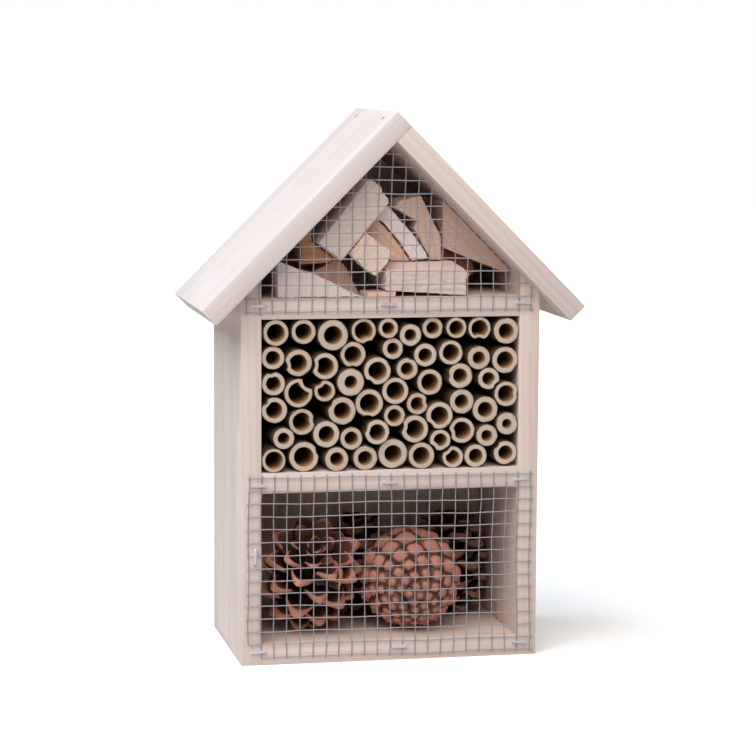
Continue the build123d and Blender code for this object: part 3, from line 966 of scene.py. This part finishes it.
class INSECTHOTEL_OT_staples(bpy.types.Operator):
    """Staples that hold the meshes"""

    bl_idname = "insecthotel.staples"
    bl_label = "Staples"

    def execute(self, context):
        finish = metal("staple_steel", settings("hotel_wire").staple, 0.7, 0.18, 0.15)
        for node, name in (
            ("upper_mesh_staples", "loft_mesh_staples"),
            ("lower_mesh_staples", "cone_room_mesh_staples"),
        ):
            rng = seeded(name)
            made = []
            for corners in solids(node):
                low, high = span(corners)
                sizes = high - low
                standing = sizes.z > sizes.x
                crown, band = (sizes.z, sizes.x) if standing else (sizes.x, sizes.z)
                piece = staple_blank(crown, band, sizes.y - STAPLE_WIRE)
                turn = (pi / 2 if standing else 0) + radians(rng.uniform(-5, 5))
                middle = Vector(((low.x + high.x) / 2, low.y, (low.z + high.z) / 2))
                piece.data.transform(Matrix.Translation(middle) @ Matrix.Rotation(turn, 4, "Y"))
                made.append(piece)
            deliver(joined(made, name), [node], "staple_wire", finish)
        return {"FINISHED"}


# ---------------------------------------------------------------- bamboo
BORE = 0.6                        # bore of the pattern tube, whose outside is 1
END_RINGS = 3                     # rings of faces on its sawn end
ROWS = (0.01, 0.29, 0.7)          # rows of faces along it: the rim, near the front, the rest
THINNEST_WALL = 0.9 * MM


def pattern_tube(columns):
    """Tube of unit radius and length that every bamboo tube is shaped from."""
    tube = started(
        "pattern_tube",
        bpy.ops.mesh.primitive_circle_add,
        vertices=columns,
        radius=1,
        fill_type="NOTHING",
        rotation=(pi / 2, 0, 0),
    )

    def step_to(factor, y):
        bpy.ops.mesh.extrude_region_move()
        bpy.ops.transform.resize(value=(factor, 1, factor), center_override=(0, y, 0))

    with opened(tube):
        for row in ROWS:
            draw_out(0, row, 0)
        step_to(BORE, 1)
        for row in reversed(ROWS):
            draw_out(0, -row, 0)
        reach = BORE
        for _ in range(END_RINGS):
            wider = reach + (1 - BORE) / END_RINGS
            step_to(wider / reach, 0)
            reach = wider
        bpy.ops.mesh.select_all(action="SELECT")
        bpy.ops.mesh.remove_doubles(threshold=1e-4)
        face_outwards()
    return tube


def rim_loops(part):
    """Outside and bore rims of a tube's front end, as arrays of (x, z)."""
    work = bmesh.new()
    work.from_mesh(part)
    front = min(v.co.y for v in work.verts)
    rim = set()
    for edge in work.edges:
        if all(v.co.y < front + 1e-6 for v in edge.verts):
            if any(abs(face.normal.y) < 0.5 for face in edge.link_faces):
                rim.add(edge)
    loops = []
    while rim:
        edge = rim.pop()
        first, here = edge.verts
        points = [first.co, here.co]
        while here is not first:
            edge = next(e for e in here.link_edges if e in rim)
            rim.remove(edge)
            here = edge.other_vert(here)
            points.append(here.co)
        loops.append(np.array([(p.x, p.z) for p in points[:-1]]))
    work.free()
    loops.sort(key=lambda loop: -np.ptp(loop, axis=0).sum())
    return loops, front


def circle_middle(points):
    """Middle of the circle that most of the points lie on."""
    keep = points
    for _ in range(4):
        sides = np.c_[2 * keep, np.ones(len(keep))]
        fit = np.linalg.lstsq(sides, (keep**2).sum(axis=1), rcond=None)[0]
        middle = fit[:2]
        radius = sqrt(fit[2] + middle @ middle)
        short = radius - np.hypot(*(points - middle).T)
        keep = points[short < 0.1 * MM]
        if len(keep) < 8:
            keep = points[short < 0.6 * MM]
    return middle


def outline(points, middle):
    """Radius of a rim as a function of the direction."""
    away = points - middle
    angles = np.arctan2(away[:, 1], away[:, 0])
    radii = np.hypot(away[:, 0], away[:, 1])
    order = np.argsort(angles)
    return lambda angle: float(np.interp(angle, angles[order], radii[order], period=tau))


def bamboo_tube(pattern, part, rng):
    """One tube shaped to its frame solid, uneven as a cane is."""
    sizes = settings("hotel_tubes")
    (outside, bore), front = rim_loops(part)
    back = max(v.co.y for v in part.vertices)
    middle = circle_middle(outside)
    outer, inner = outline(outside, middle), outline(bore, middle)
    seed = rng.uniform(0, 99)
    lean = [rng.uniform(-0.03, 0.03) for _ in range(2)]
    drift = [rng.uniform(-1, 1) * 0.2 * MM for _ in range(2)]
    chip_at = rng.uniform(-pi, pi)
    chip = rng.choice((0, 0, 0.3, 0.5)) * MM
    tube = copied(pattern, "tube")
    walls = []

    def shape(co):
        reach = sqrt(co.x**2 + co.z**2)
        wall = (reach - BORE) / (1 - BORE)
        angle = atan2(co.z, co.x)
        around = Vector((cos(angle), sin(angle), seed))
        rough = noise.noise(around * 1.3) * sizes.wander
        fine = noise.noise(around * 5.0 + Vector((0, 0, 7))) * 0.35 * sizes.wander
        out = outer(angle) - abs(rough) * 0.8 - abs(fine)
        hole = inner(angle) + rough + fine
        hole += (drift[0] * cos(angle) + drift[1] * sin(angle)) * 0.6
        hole = min(hole, out - THINNEST_WALL)
        at_front = co.y < 0.005
        if at_front:
            near = abs((angle - chip_at + pi) % tau - pi)
            bite = chip * exp(-((near / 0.22) ** 2))
            out -= sizes.rim_ease * (0.8 + 0.5 * noise.noise(around * 3)) + bite
            hole += sizes.rim_ease * 0.7
        rho = hole + wall * (out - hole)
        x, z = middle[0] + rho * cos(angle), middle[1] + rho * sin(angle)
        depth = (0.3 * MM if not at_front and co.y < 0.05 else (back - front) * co.y)
        tilt = (x - middle[0]) * lean[0] + (z - middle[1]) * lean[1] if co.y < 0.05 else 0
        saw_mark = noise.noise(Vector((x * 500, z * 500, seed))) * 0.05 * MM if at_front else 0
        walls.append(min(max(wall, 0), 1))
        return Vector((x, front + depth + tilt + saw_mark, z))

    reshape(tube, shape)
    mark(tube, "wall", walls)
    mark(tube, "shade", [rng.random()] * len(tube.data.vertices))
    return tube


def bamboo_finishes():
    """Sawn end, bore wall and outer skin."""
    sizes = settings("hotel_tubes")
    end = Finish("bamboo_sawn_end")
    place = end.place()
    wall, shade = end.written("wall"), end.written("shade")
    bundles = end.node("ShaderNodeTexVoronoi", None, Vector=place, Scale=2300)
    dots = (1 - end.step(bundles, 0.1, 0.42)) * (wall * 0.7 + 0.25)
    saw_lines = end.noise(end.stretch(place, 300, 300, 2600), detail=2)
    blotch = end.noise(place, 330, 3)
    darker = [c * k for c, k in zip(sizes.end, (0.86, 0.8, 0.72))]
    tint = end.mix(blotch * 0.7 + shade * 0.5 - 0.1, sizes.end, darker)
    tint = end.mix(dots * 0.42, tint, tone(158, 128, 98))
    tint = end.mix(end.step(wall, 0.86, 1.0) * 0.55, tint, tone(158, 132, 102))
    tint = end.mix((1 - end.step(wall, 0.0, 0.12)) * 0.4, tint, tone(170, 140, 106))
    relief = end.bump(saw_lines * 0.6 + blotch - dots * 0.5, 0.1 * MM, 0.8)
    sawn = end.done(tint, blotch * 0.15 + 0.7, relief, gloss=0.2)

    bore = Finish("bamboo_bore")
    place = bore.place()
    fibre = bore.noise(bore.stretch(place, 900, 40, 900), detail=3)
    pale = [c * 1.5 for c in sizes.bore]
    tint = bore.mix(fibre * 0.8 + bore.written("shade") * 0.4 - 0.2, sizes.bore, pale)
    hollow = bore.done(tint, 0.6, bore.bump(fibre, 0.12 * MM), gloss=0.3)

    skin = Finish("bamboo_skin")
    place = skin.place()
    fibre = skin.noise(skin.stretch(place, 700, 20, 700), detail=3)
    tint = skin.mix(fibre, sizes.skin, tone(72, 56, 42))
    cane = skin.done(tint, fibre * 0.2 + 0.35, skin.bump(fibre, 0.05 * MM), gloss=0.5)
    return sawn, hollow, cane


class INSECTHOTEL_OT_bamboo(bpy.types.Operator):
    """The bamboo tubes, three to a bundle"""

    bl_idname = "insecthotel.bamboo"
    bl_label = "Bamboo Tubes"

    def execute(self, context):
        finishes = bamboo_finishes()
        pattern = pattern_tube(settings("hotel_tubes").columns)
        for node in sorted(n for n in frame["nodes"] if n.startswith("bamboo_tubes_")):
            parts = sorted(loose_solids(node), key=lambda part: part.bound_box[0][0])
            rng = seeded(node)
            tubes = [bamboo_tube(pattern, part.data, rng) for part in parts]
            scrap(*parts)
            bundle = joined(tubes, node.replace("bamboo_tubes", "bamboo_bundle"))
            for finish in finishes:
                bundle.data.materials.append(finish)
            wall = bundle.data.attributes["wall"].data
            for face in bundle.data.polygons:
                reach = [wall[i].value for i in face.vertices]
                along = max(abs(face.normal.x), abs(face.normal.z))
                if min(reach) > 0.99 and along > 0.3:
                    face.material_index = 2
                elif max(reach) < 0.01 and along > 0.3:
                    face.material_index = 1
            smooth(bundle, 50)
            deliver(bundle, [node], "bamboo")
        scrap(pattern)
        return {"FINISHED"}


# ---------------------------------------------------------------- offcuts
# Early and late wood, turn of the grain, and roughness against the others; the grain of
# a piece with three turns runs askew.
# The orange of the tan stick and square block and the darkness of the dark stick are partly their
# wood and partly painted warm bounce light and shade in the loft.
OFFCUTS = {
    "front_triangle_offcut": ((248, 234, 228), (222, 194, 178), UP, 0.7),
    "rear_triangle_offcut": ((240, 208, 190), (208, 168, 146), (0.3, 1.1, 0), 0.7),
    "square_block_offcut": ((222, 168, 130), (186, 128, 90), (0, 0, pi / 2), 0.6),
    "leaning_board_offcut": ((246, 228, 216), (214, 182, 160), DOWN_LEFT, 1.2),
    "rough_chip_offcut": ((252, 230, 212), (226, 188, 156), DOWN_LEFT, 1.5),
    "tan_stick_offcut": ((248, 210, 180), (222, 160, 118), DOWN_RIGHT, 0.7),
    "rough_sawn_stick_offcut": ((254, 244, 238), (232, 206, 188), DOWN_RIGHT, 2.2),
    "bevelled_stick_offcut": ((236, 210, 192), (194, 154, 126), (0.2, -1.1, 0.3), 1.0),
    "sloping_wedge_offcut": ((238, 206, 186), (206, 164, 142), DOWN_RIGHT, 0.6),
    "dark_stick_offcut": ((150, 104, 86), (108, 70, 56), DOWN_RIGHT, 0.8),
    "thin_strip_offcut": ((244, 212, 196), (214, 172, 150), LEVEL, 0.5),
    "rough_sawn_block_offcut": ((242, 222, 210), (202, 172, 152), LEVEL, 2.0),
}


def ramp(value, low, high):
    """Smooth step between low and high."""
    t = min(max((value - low) / (high - low), 0.0), 1.0)
    return t * t * (3 - 2 * t)


DEEPEST_TEAR = 1.8 * MM
ROUGH = 1.1                       # roughness over which rings hardly show
ROUGHEST = 1.8                    # roughness over which the sawn face is speckled


def roughen(piece, turn, amount, seed):
    """Saw marks all over the piece, and torn fibres at the ends of the grain."""
    sizes = settings("hotel_offcuts")
    depth = sizes.roughness * amount
    along = Matrix.Rotation(turn[1], 3, "Y")
    grain = along.transposed() @ Vector((1, 0, 0))
    normals = [vertex.normal.copy() for vertex in piece.data.vertices]
    for vertex, normal in zip(piece.data.vertices, normals):
        here = along @ vertex.co
        fibre = noise.noise(Vector((here.x * 120, here.y * 700, here.z * 700 + seed)))
        marks = noise.noise(Vector((here.x * 420, here.y * 420, here.z * 420 - seed)))
        teeth = noise.noise(Vector((here.y * 380, here.z * 380, seed))) * 1.6 + 0.35
        torn = ramp(teeth, 0.1, 0.9) * min(sizes.tear * amount, DEEPEST_TEAR)
        facing = normal.dot(grain)
        vertex.co -= grain * torn * (ramp(facing, 0.35, 0.7) - ramp(-facing, 0.35, 0.7))
        vertex.co += normal * (fibre * 0.6 + marks * 0.8 - 0.5) * depth
    piece.data.update()


class INSECTHOTEL_OT_offcuts(bpy.types.Operator):
    """The heap of wood offcuts in the loft"""

    bl_idname = "insecthotel.offcuts"
    bl_label = "Offcuts"

    def execute(self, context):
        sizes = settings("hotel_offcuts")
        for count, (node, (early, late, turn, amount)) in enumerate(OFFCUTS.items()):
            piece = cad_copy(node, node.replace("_offcut", "_offcut_wood"))
            use(piece, "REMESH", mode="VOXEL", voxel_size=sizes.grain_size)
            roughen(piece, turn, amount, count * 11.3)
            smooth(piece, 38)
            pith = (0.1 * count, 0.021 + 0.007 * (count % 4), -0.2 - 0.013 * (count % 5))
            finish = wood(
                f"{node}_finish",
                turn,
                pith,
                tone(*early),
                tone(*late),
                2.4 * MM + 0.3 * MM * (count % 3),
                ring_show=0.25 if amount > ROUGH else 0.45,
                fibre_show=0.6,
                streaks=0.14 if amount > ROUGHEST else 0.05,
                fleck=SPECKLES if amount > ROUGHEST else LONG_STREAKS,
                relief=0.15 + 0.25 * amount,
            )
            deliver(piece, [node], "offcut_wood", finish)
        return {"FINISHED"}


# ---------------------------------------------------------------- pine cones
def scale_pattern(name, rows, middle, shape):
    """Sheet with an underside, shaped point by point; shape gives each place and its lip."""
    scale = started(
        name,
        bpy.ops.mesh.primitive_grid_add,
        x_subdivisions=6,
        y_subdivisions=rows,
        size=1,
        location=middle,
    )
    with opened(scale):
        draw_out(0, 0, -1)
        face_outwards()
    shaped = [shape(vertex.co) for vertex in scale.data.vertices]
    scale.data.vertices.foreach_set("co", [c for place, _ in shaped for c in place])
    scale.data.update()
    mark(scale, "lip", [lip for _, lip in shaped])
    return scale


def open_scale(co):
    """Open scale: a thin blade that widens from its root to a thick, cupped lip."""
    u, v, under = co.x * 2, co.y, co.z < -0.5
    half = 0.16 + 0.34 * ramp(v, 0.0, 0.75) - 0.07 * ramp(v, 0.85, 1.0)
    cup = 0.2 * u * u * ramp(v, 0.2, 0.9) + 0.1 * v * v
    lip = 0.3 * ramp(v, 0.72, 0.92) * (1 - 0.75 * u * u) * (1 - 0.2 * ramp(v, 0.94, 1))
    boss = 0.05 * exp(-((u / 0.3) ** 2) - ((v - 0.88) / 0.07) ** 2)
    thick = 0.035 + lip + boss if under else 0
    return (u * half, v - 0.2 * u * u * ramp(v, 0.45, 1.0), cup - thick), v


def closed_scale(co):
    """Closed scale: a rounded rhombic shield with a keel and a small boss, on a stub."""
    u, v = co.x - co.y, co.x + co.y
    level = abs(u) + abs(v)
    reach = sqrt(u * u + v * v)
    if reach > 1e-6:
        corner = reach / level
        u, v = (c / reach * level * corner**0.45 for c in (u, v))
    # The lip value, low on the stub and falling towards each shield's edge, paints shade under and
    # between the knobs.
    if co.z < -0.5:
        return (u * 0.3, v * 0.3 - 0.2, -0.8), 0.1
    height = 0.38 * (1 - level**3) + 0.12 * v * (1 - level)
    height += 0.09 * exp(-((v / 0.14) ** 2)) * (1 - level)
    height += 0.1 * exp(-(u * u + v * v) / 0.03)
    return (u * 0.6, v * 0.58, height), 1.0 - 0.6 * level**4


LIP_STARTS = 0.82                 # share of a scale's length where its pale lip starts


def scale_wood(name, light=1.0):
    """Finish of a cone's scales: dark at the root, partly painted shade, pale at the lip; a light
    below 1 dims every tint as painted shade.
    """
    sizes = settings("hotel_cones")
    finish = Finish(name)
    place = finish.place()
    lip, shade = finish.written("lip"), finish.written("shade")
    fine = finish.noise(place, 900, 4, 0.65)
    patches = finish.noise(place, 260, 3)
    dim = [[c * light for c in tint] for tint in (sizes.shade, sizes.blade, sizes.lip)]
    # From root to blade to lip: the dark root and blade are partly painted shade between the
    # scales.
    tint = finish.mix(finish.step(lip, 0.45, LIP_STARTS), dim[0], dim[1])
    tint = finish.mix(finish.step(lip + (fine - 0.5) * 0.2, LIP_STARTS, 0.93), tint, dim[2])
    tint = finish.mix((patches - 0.35) * 0.9, tint, finish.mix(0.55, tint, tone(120, 76, 56)))
    tint = finish.mix(shade * 0.35, tint, finish.mix(0.6, tint, tone(176, 138, 116)))
    relief = finish.bump(fine * 0.8 + patches * 0.6, 0.8 * MM, 1.0)
    return finish.done(tint, fine * 0.2 + 0.55, relief, gloss=0.3)


def egg(share_along, widest=0.42):
    """Radius of a cone, against its widest, at a share of its length from the stalk."""
    if share_along < widest:
        t = share_along / widest
        return sqrt(max(0.0, 1 - (1 - t) ** 2)) * 0.85 + 0.15 * t
    t = (share_along - widest) / (1 - widest)
    return sqrt(max(0.0, 1 - t**2.2)) * 0.94 + 0.06 * (1 - t)


class Cone:
    """Where a pine cone lies and how its scales are set."""

    def __init__(self, node, length, radius, lean, side_lean=0.0, turn=0.0):
        low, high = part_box(node)
        self.node = node
        self.middle = (low + high) / 2
        self.length = length
        self.radius = radius
        turned = Matrix.Rotation(turn, 3, "Z") @ Matrix.Rotation(side_lean, 3, "Y")
        self.turned = turned @ Matrix.Rotation(-lean, 3, "X")
        self.axis = self.turned @ Vector((0, 0, 1))

    def ray(self, angle):
        """Direction square to the axis."""
        return self.turned @ Vector((cos(angle), sin(angle), 0))

    def on_axis(self, along):
        """Point of the axis at a share of the length."""
        return self.middle + self.axis * (along - 0.5) * self.length


def set_frame(directions, sizes, place):
    """Matrix that sets a pattern in its place along three directions, scaled."""
    matrix = Matrix.Identity(4)
    matrix.translation = place
    for i, (direction, length) in enumerate(zip(directions, sizes)):
        for j in range(3):
            matrix[j][i] = direction[j] * length
    return matrix


def core(cone, share_of_radius):
    """Woody middle of a cone."""
    ball = {"segments": 24, "ring_count": 14, "radius": 0.5}
    body = started("core", bpy.ops.mesh.primitive_uv_sphere_add, **ball)

    def shape(co):
        along = co.z + 0.5
        radius = egg(min(max(along, 0.0), 1.0)) * cone.radius * share_of_radius
        flat = sqrt(max(0.25 - co.z**2, 1e-9))
        angle = atan2(co.y, co.x)
        reach = sqrt(co.x**2 + co.y**2) / flat
        at = cone.on_axis(0.04 + along * 0.9)
        return at + cone.ray(angle) * radius * min(reach, 1.0)

    reshape(body, shape)
    with opened(body):
        face_outwards()
    # The core takes the dark root colour: painted shade deep in the cone, and the dark stalk scar.
    mark(body, "lip", [0.05] * len(body.data.vertices))
    mark(body, "shade", [0.0] * len(body.data.vertices))
    return body


GOLDEN = pi * (3 - sqrt(5))       # turn from each scale of the spiral to the next
CONE_SEAT = 0.05 * MM             # left between a cone and the floor


def planted(pattern, matrix, shade, paleness=1.0):
    """Copy of a scale in its place."""
    scale = copied(pattern, "scale")
    scale.data.transform(matrix)
    if matrix.determinant() < 0:
        scale.data.flip_normals()
    mark(scale, "shade", [shade] * len(scale.data.vertices))
    for value in scale.data.attributes["lip"].data:
        value.value *= paleness
    return scale


def open_scales(cone, pattern, count, spin, rng, width, open_low, open_high):
    """Spread scales in a spiral, each reaching to the cone's outline."""
    scales = []
    for k in range(count):
        along = 0.05 + 0.89 * ((k + 0.5) / count) ** 1.1
        angle = spin + k * GOLDEN + rng.uniform(-0.06, 0.06)
        tip = ramp(along, 0.62, 0.9)
        opening = open_low + (open_high - open_low) * along**1.5
        opening += rng.uniform(-0.07, 0.07) * (1 + 2 * tip)
        roll = rng.uniform(-0.5, 0.5) * tip
        ray = cone.ray(angle)
        root = cone.radius * 0.16 * (1 - 0.9 * ramp(along, 0.7, 1.0))
        direction = ray * cos(opening) + cone.axis * sin(opening)
        out = cone.axis * cos(opening) - ray * sin(opening)
        out = Matrix.Rotation(roll, 3, direction) @ out
        across = direction.cross(out)
        full = cone.radius * egg(along + 0.05)
        length = max((full - root) / max(cos(opening), 0.45), cone.radius * 0.25)
        rise = along * cone.length + length * sin(opening)
        if rise > cone.length:
            length -= (rise - cone.length) / max(sin(opening), 0.3)
        length = max(length, 0.2 * cone.radius) * rng.uniform(0.95, 1.0)
        wide = width * (0.35 + 0.65 * egg(along)) * (1 - 0.4 * tip) * rng.uniform(0.9, 1.08)
        sizes = (wide, length, wide * (0.95 - 0.35 * tip))
        place = cone.on_axis(along) + ray * root
        matrix = set_frame((across, direction, out), sizes, place)
        # Painted shade: the lips of scales near the tip and of scales that point up are darkened,
        # for the dark top of the room.
        dark = 0.16 * max(tip, ramp(ray.z, 0.0, 0.5)) * rng.uniform(0.6, 1.0)
        scales.append(planted(pattern, matrix, rng.random(), 1 - dark))
    return scales


def closed_scales(cone, pattern, rng, smallest, largest):
    """Shut scales in a spiral over the cone's outline, growing from the stalk."""
    scales = []
    along = 0.004
    angle = 0.0
    stride = 0.02                # share of the length over which the outline's slope is taken
    while along < 0.985:
        here = egg(along) * cone.radius
        ahead = egg(min(along + stride, 1.0)) * cone.radius
        slope = atan2(ahead - here, stride * cone.length)
        grow = min(along / 0.55, 1.0) ** 0.9
        wide = (smallest + (largest - smallest) * grow) * (1 - 0.45 * ramp(along, 0.7, 1.0))
        tall = wide * (0.92 - 0.3 * grow)
        ray = cone.ray(angle)
        forward = cone.axis * cos(slope) + ray * sin(slope)
        out = ray * cos(slope) - cone.axis * sin(slope)
        lift = 0.1 + 0.6 * ramp(along, 0.25, 0.5) + rng.uniform(-0.08, 0.08)
        along_scale = forward * cos(lift) + out * sin(lift)
        normal = out * cos(lift) - forward * sin(lift)
        across = along_scale.cross(normal)
        depth = wide * 0.8
        place = cone.on_axis(along) + ray * here - normal * 0.34 * depth
        sizes = (wide * rng.uniform(0.95, 1.06), tall * 1.12, depth)
        matrix = set_frame((across, along_scale, normal), sizes, place)
        grey = 1.4 * (1 - ramp(along, 0.0, 0.12))
        paleness = 0.95 + 0.05 * ramp(along, 0.08, 0.4) - rng.uniform(0.0, 0.03)
        scales.append(planted(pattern, matrix, rng.random() + grey, paleness))
        area = tau * max(here, 0.12 * cone.radius) * cone.length
        stretch = sqrt(1 + ((ahead - here) / (stride * cone.length)) ** 2)
        along += wide * tall * (0.7 + 0.12 * ramp(along, 0.25, 0.5)) / (area * stretch)
        angle += GOLDEN
    return scales


def finish_cone(cone, pieces, name, finish):
    """Join a cone's pieces and set them on the floor of their room."""
    made = joined(pieces, name)
    smooth(made, 55)
    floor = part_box("bottom_board")[1].z + CONE_SEAT
    lowest = min(v.co.z for v in made.data.vertices)
    made.data.transform(Matrix.Translation((0, 0, floor - lowest)))
    deliver(made, [cone.node], "pine_cone", finish)


def shell_scale(cone, pattern):
    """The one large scale that stands out of the open cone's front."""
    along, facing = Vector((0.86, -0.3, 0.42)).normalized(), Vector((-0.25, -0.95, 0.2))
    across = along.cross(facing).normalized()
    place = cone.middle + Vector((1, -17, 3)) * MM
    sizes = (17 * MM, 15 * MM, 12 * MM)
    return planted(pattern, set_frame((across, along, across.cross(along)), sizes, place), 0.9)


class INSECTHOTEL_OT_pine_cones(bpy.types.Operator):
    """The four pine cones"""

    bl_idname = "insecthotel.pine_cones"
    bl_label = "Pine Cones"

    def execute(self, context):
        blade = scale_pattern("open_pattern", 7, (0, 0.5, 0), open_scale)
        knob = scale_pattern("closed_pattern", 6, (0, 0, 0), closed_scale)
        # The rear cones' finish is the same scale wood dimmed to 0.4, as painted shade at the back
        # of the room.
        finish, dim = scale_wood("cone_scales"), scale_wood("rear_cone_scales", 0.4)
        rng = seeded("open cone")
        cone = Cone("open_pine_cone", 54 * MM, 26 * MM, radians(-42), radians(6))
        pieces = [core(cone, 0.3)] + open_scales(cone, blade, 50, 0.4, rng, 13.6 * MM, 0.3, 1.2)
        pieces.append(shell_scale(cone, blade))
        finish_cone(cone, pieces, "open_cone_scales", finish)
        rng = seeded("closed cone")
        cone = Cone("closed_pine_cone", 49 * MM, 24.2 * MM, radians(68), 0, radians(-14))
        pieces = [core(cone, 0.8)] + closed_scales(cone, knob, rng, 5.2 * MM, 15.5 * MM)
        finish_cone(cone, pieces, "closed_cone_scales", finish)
        for node, radius, spin in (
            ("rear_middle_pine_cone", 16.5 * MM, 1.0),
            ("rear_right_pine_cone", 20.5 * MM, 2.6),
        ):
            rng = seeded(node)
            cone = Cone(node, 54 * MM, radius, radians(3))
            pieces = [core(cone, 0.4)] + open_scales(cone, blade, 52, spin, rng, 13 * MM, 0.1, 1.1)
            finish_cone(cone, pieces, node.replace("_pine_cone", "_cone_scales"), dim)
        scrap(blade, knob)
        return {"FINISHED"}


# ---------------------------------------------------------------- stage
SOFTNESS = radians(52)            # angle that a light fills in the sky
WHITE = (1, 1, 1, 1)


def lamp(name, towards, strength, tint):
    """Broad soft light from one direction."""
    light = bpy.data.lights.new(name, "SUN")
    light.angle = SOFTNESS
    light.energy = strength
    light.color = tint
    holder = bpy.data.objects.new(name, light)
    bpy.context.scene.collection.objects.link(holder)
    holder.rotation_euler = Vector(towards).to_track_quat("Z", "Y").to_euler()


def studio_room(strength):
    """White room that lights the object softly and is seen plain white."""
    world = bpy.data.worlds.new("studio")
    world.use_nodes = True
    tree = world.node_tree
    light = tree.nodes["Background"]
    light.inputs["Color"].default_value = WHITE
    light.inputs["Strength"].default_value = strength
    white = tree.nodes.new("ShaderNodeBackground")
    white.inputs["Color"].default_value = WHITE
    blend = tree.nodes.new("ShaderNodeMixShader")
    path = tree.nodes.new("ShaderNodeLightPath")
    tree.links.new(path.outputs["Is Camera Ray"], blend.inputs[0])
    tree.links.new(light.outputs[0], blend.inputs[1])
    tree.links.new(white.outputs[0], blend.inputs[2])
    tree.links.new(blend.outputs[0], tree.nodes["World Output"].inputs["Surface"])
    return world


class INSECTHOTEL_OT_stage(bpy.types.Operator):
    """Pale floor, soft lights and the camera"""

    bl_idname = "insecthotel.stage"
    bl_label = "Stage"

    def execute(self, context):
        sizes = settings("hotel_stage")
        below = (0, 0, -0.02 * MM)
        floor = started("floor", bpy.ops.mesh.primitive_plane_add, size=8, location=below)
        paper = Finish("floor_paper")
        seen = paper.node("ShaderNodeLightPath", out="Is Camera Ray")
        pale = paper.mix(seen, (0.6, 0.6, 0.6), (0.9, 0.9, 0.9))
        white = paper.mix(seen, (0.05, 0.05, 0.05), (1, 1, 1))
        floor.data.materials.append(
            paper.done(pale, 0.9, gloss=0.0, Emission_Color=white, Emission_Strength=sizes.glow)
        )
        floor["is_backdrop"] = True
        context.scene.world = studio_room(sizes.sky)
        lamp("key", (-0.85, -0.15, 1.2), sizes.key, (0.76, 0.88, 1.0))
        lamp("front", (-0.42, -1.1, 1.22), sizes.front, (1.0, 0.93, 0.88))
        lens = bpy.data.cameras.new("camera")
        lens.lens = sizes.lens
        lens.sensor_width = 36
        lens.clip_start = 0.05
        camera = bpy.data.objects.new("camera", lens)
        context.scene.collection.objects.link(camera)
        turn, tilt, roll = sizes.turn, sizes.tilt, sizes.roll
        forward = Vector((sin(turn) * cos(tilt), cos(turn) * cos(tilt), sin(tilt)))
        right = Vector((cos(turn), -sin(turn), 0))
        up = right.cross(forward)
        right, up = right * cos(roll) + up * sin(roll), up * cos(roll) - right * sin(roll)
        look = Matrix((right, up, -forward)).transposed().to_4x4()
        camera.matrix_world = Matrix.Translation(sizes.eye) @ look
        context.scene.camera = camera
        context.scene.view_settings.view_transform = "Standard"
        context.scene.view_settings.look = "None"
        return {"FINISHED"}


# ---------------------------------------------------------------- panel and registering
OPERATORS = (
    INSECTHOTEL_OT_stage,
    INSECTHOTEL_OT_body_boards,
    INSECTHOTEL_OT_back_panel,
    INSECTHOTEL_OT_roof,
    INSECTHOTEL_OT_nails,
    INSECTHOTEL_OT_hanger,
    INSECTHOTEL_OT_wire_mesh,
    INSECTHOTEL_OT_staples,
    INSECTHOTEL_OT_bamboo,
    INSECTHOTEL_OT_offcuts,
    INSECTHOTEL_OT_pine_cones,
)


class INSECTHOTEL_PT_panel(bpy.types.Panel):
    """Lists the pieces of the insect hotel and what can be changed"""

    bl_idname = "INSECTHOTEL_PT_panel"
    bl_label = "Insect Hotel"
    bl_space_type = "VIEW_3D"
    bl_region_type = "UI"
    bl_category = "Insect Hotel"

    def draw(self, context):
        for group in GROUPS:
            box = self.layout.box()
            for key in GROUPS[group].__annotations__:
                box.prop(getattr(context.scene, group), key)
        for operator in OPERATORS:
            self.layout.operator(operator.bl_idname)


CLASSES = (*GROUPS.values(), *OPERATORS, INSECTHOTEL_PT_panel)


def register():
    for item in CLASSES:
        bpy.utils.register_class(item)
    for name, group in GROUPS.items():
        setattr(bpy.types.Scene, name, bpy.props.PointerProperty(type=group))


def unregister():
    for name in GROUPS:
        delattr(bpy.types.Scene, name)
    for item in reversed(CLASSES):
        bpy.utils.unregister_class(item)


def main():
    """Build the hotel piece by piece and work out both boxes."""
    register()
    for operator in OPERATORS:
        family, piece = operator.bl_idname.split(".")
        getattr(getattr(bpy.ops, family), piece)()
    boxes = {"cad": cad_box, "visual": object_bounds()}
    plain = {name: [list(corner) for corner in box] for name, box in boxes.items()}


if __name__ == "__main__":
    main()
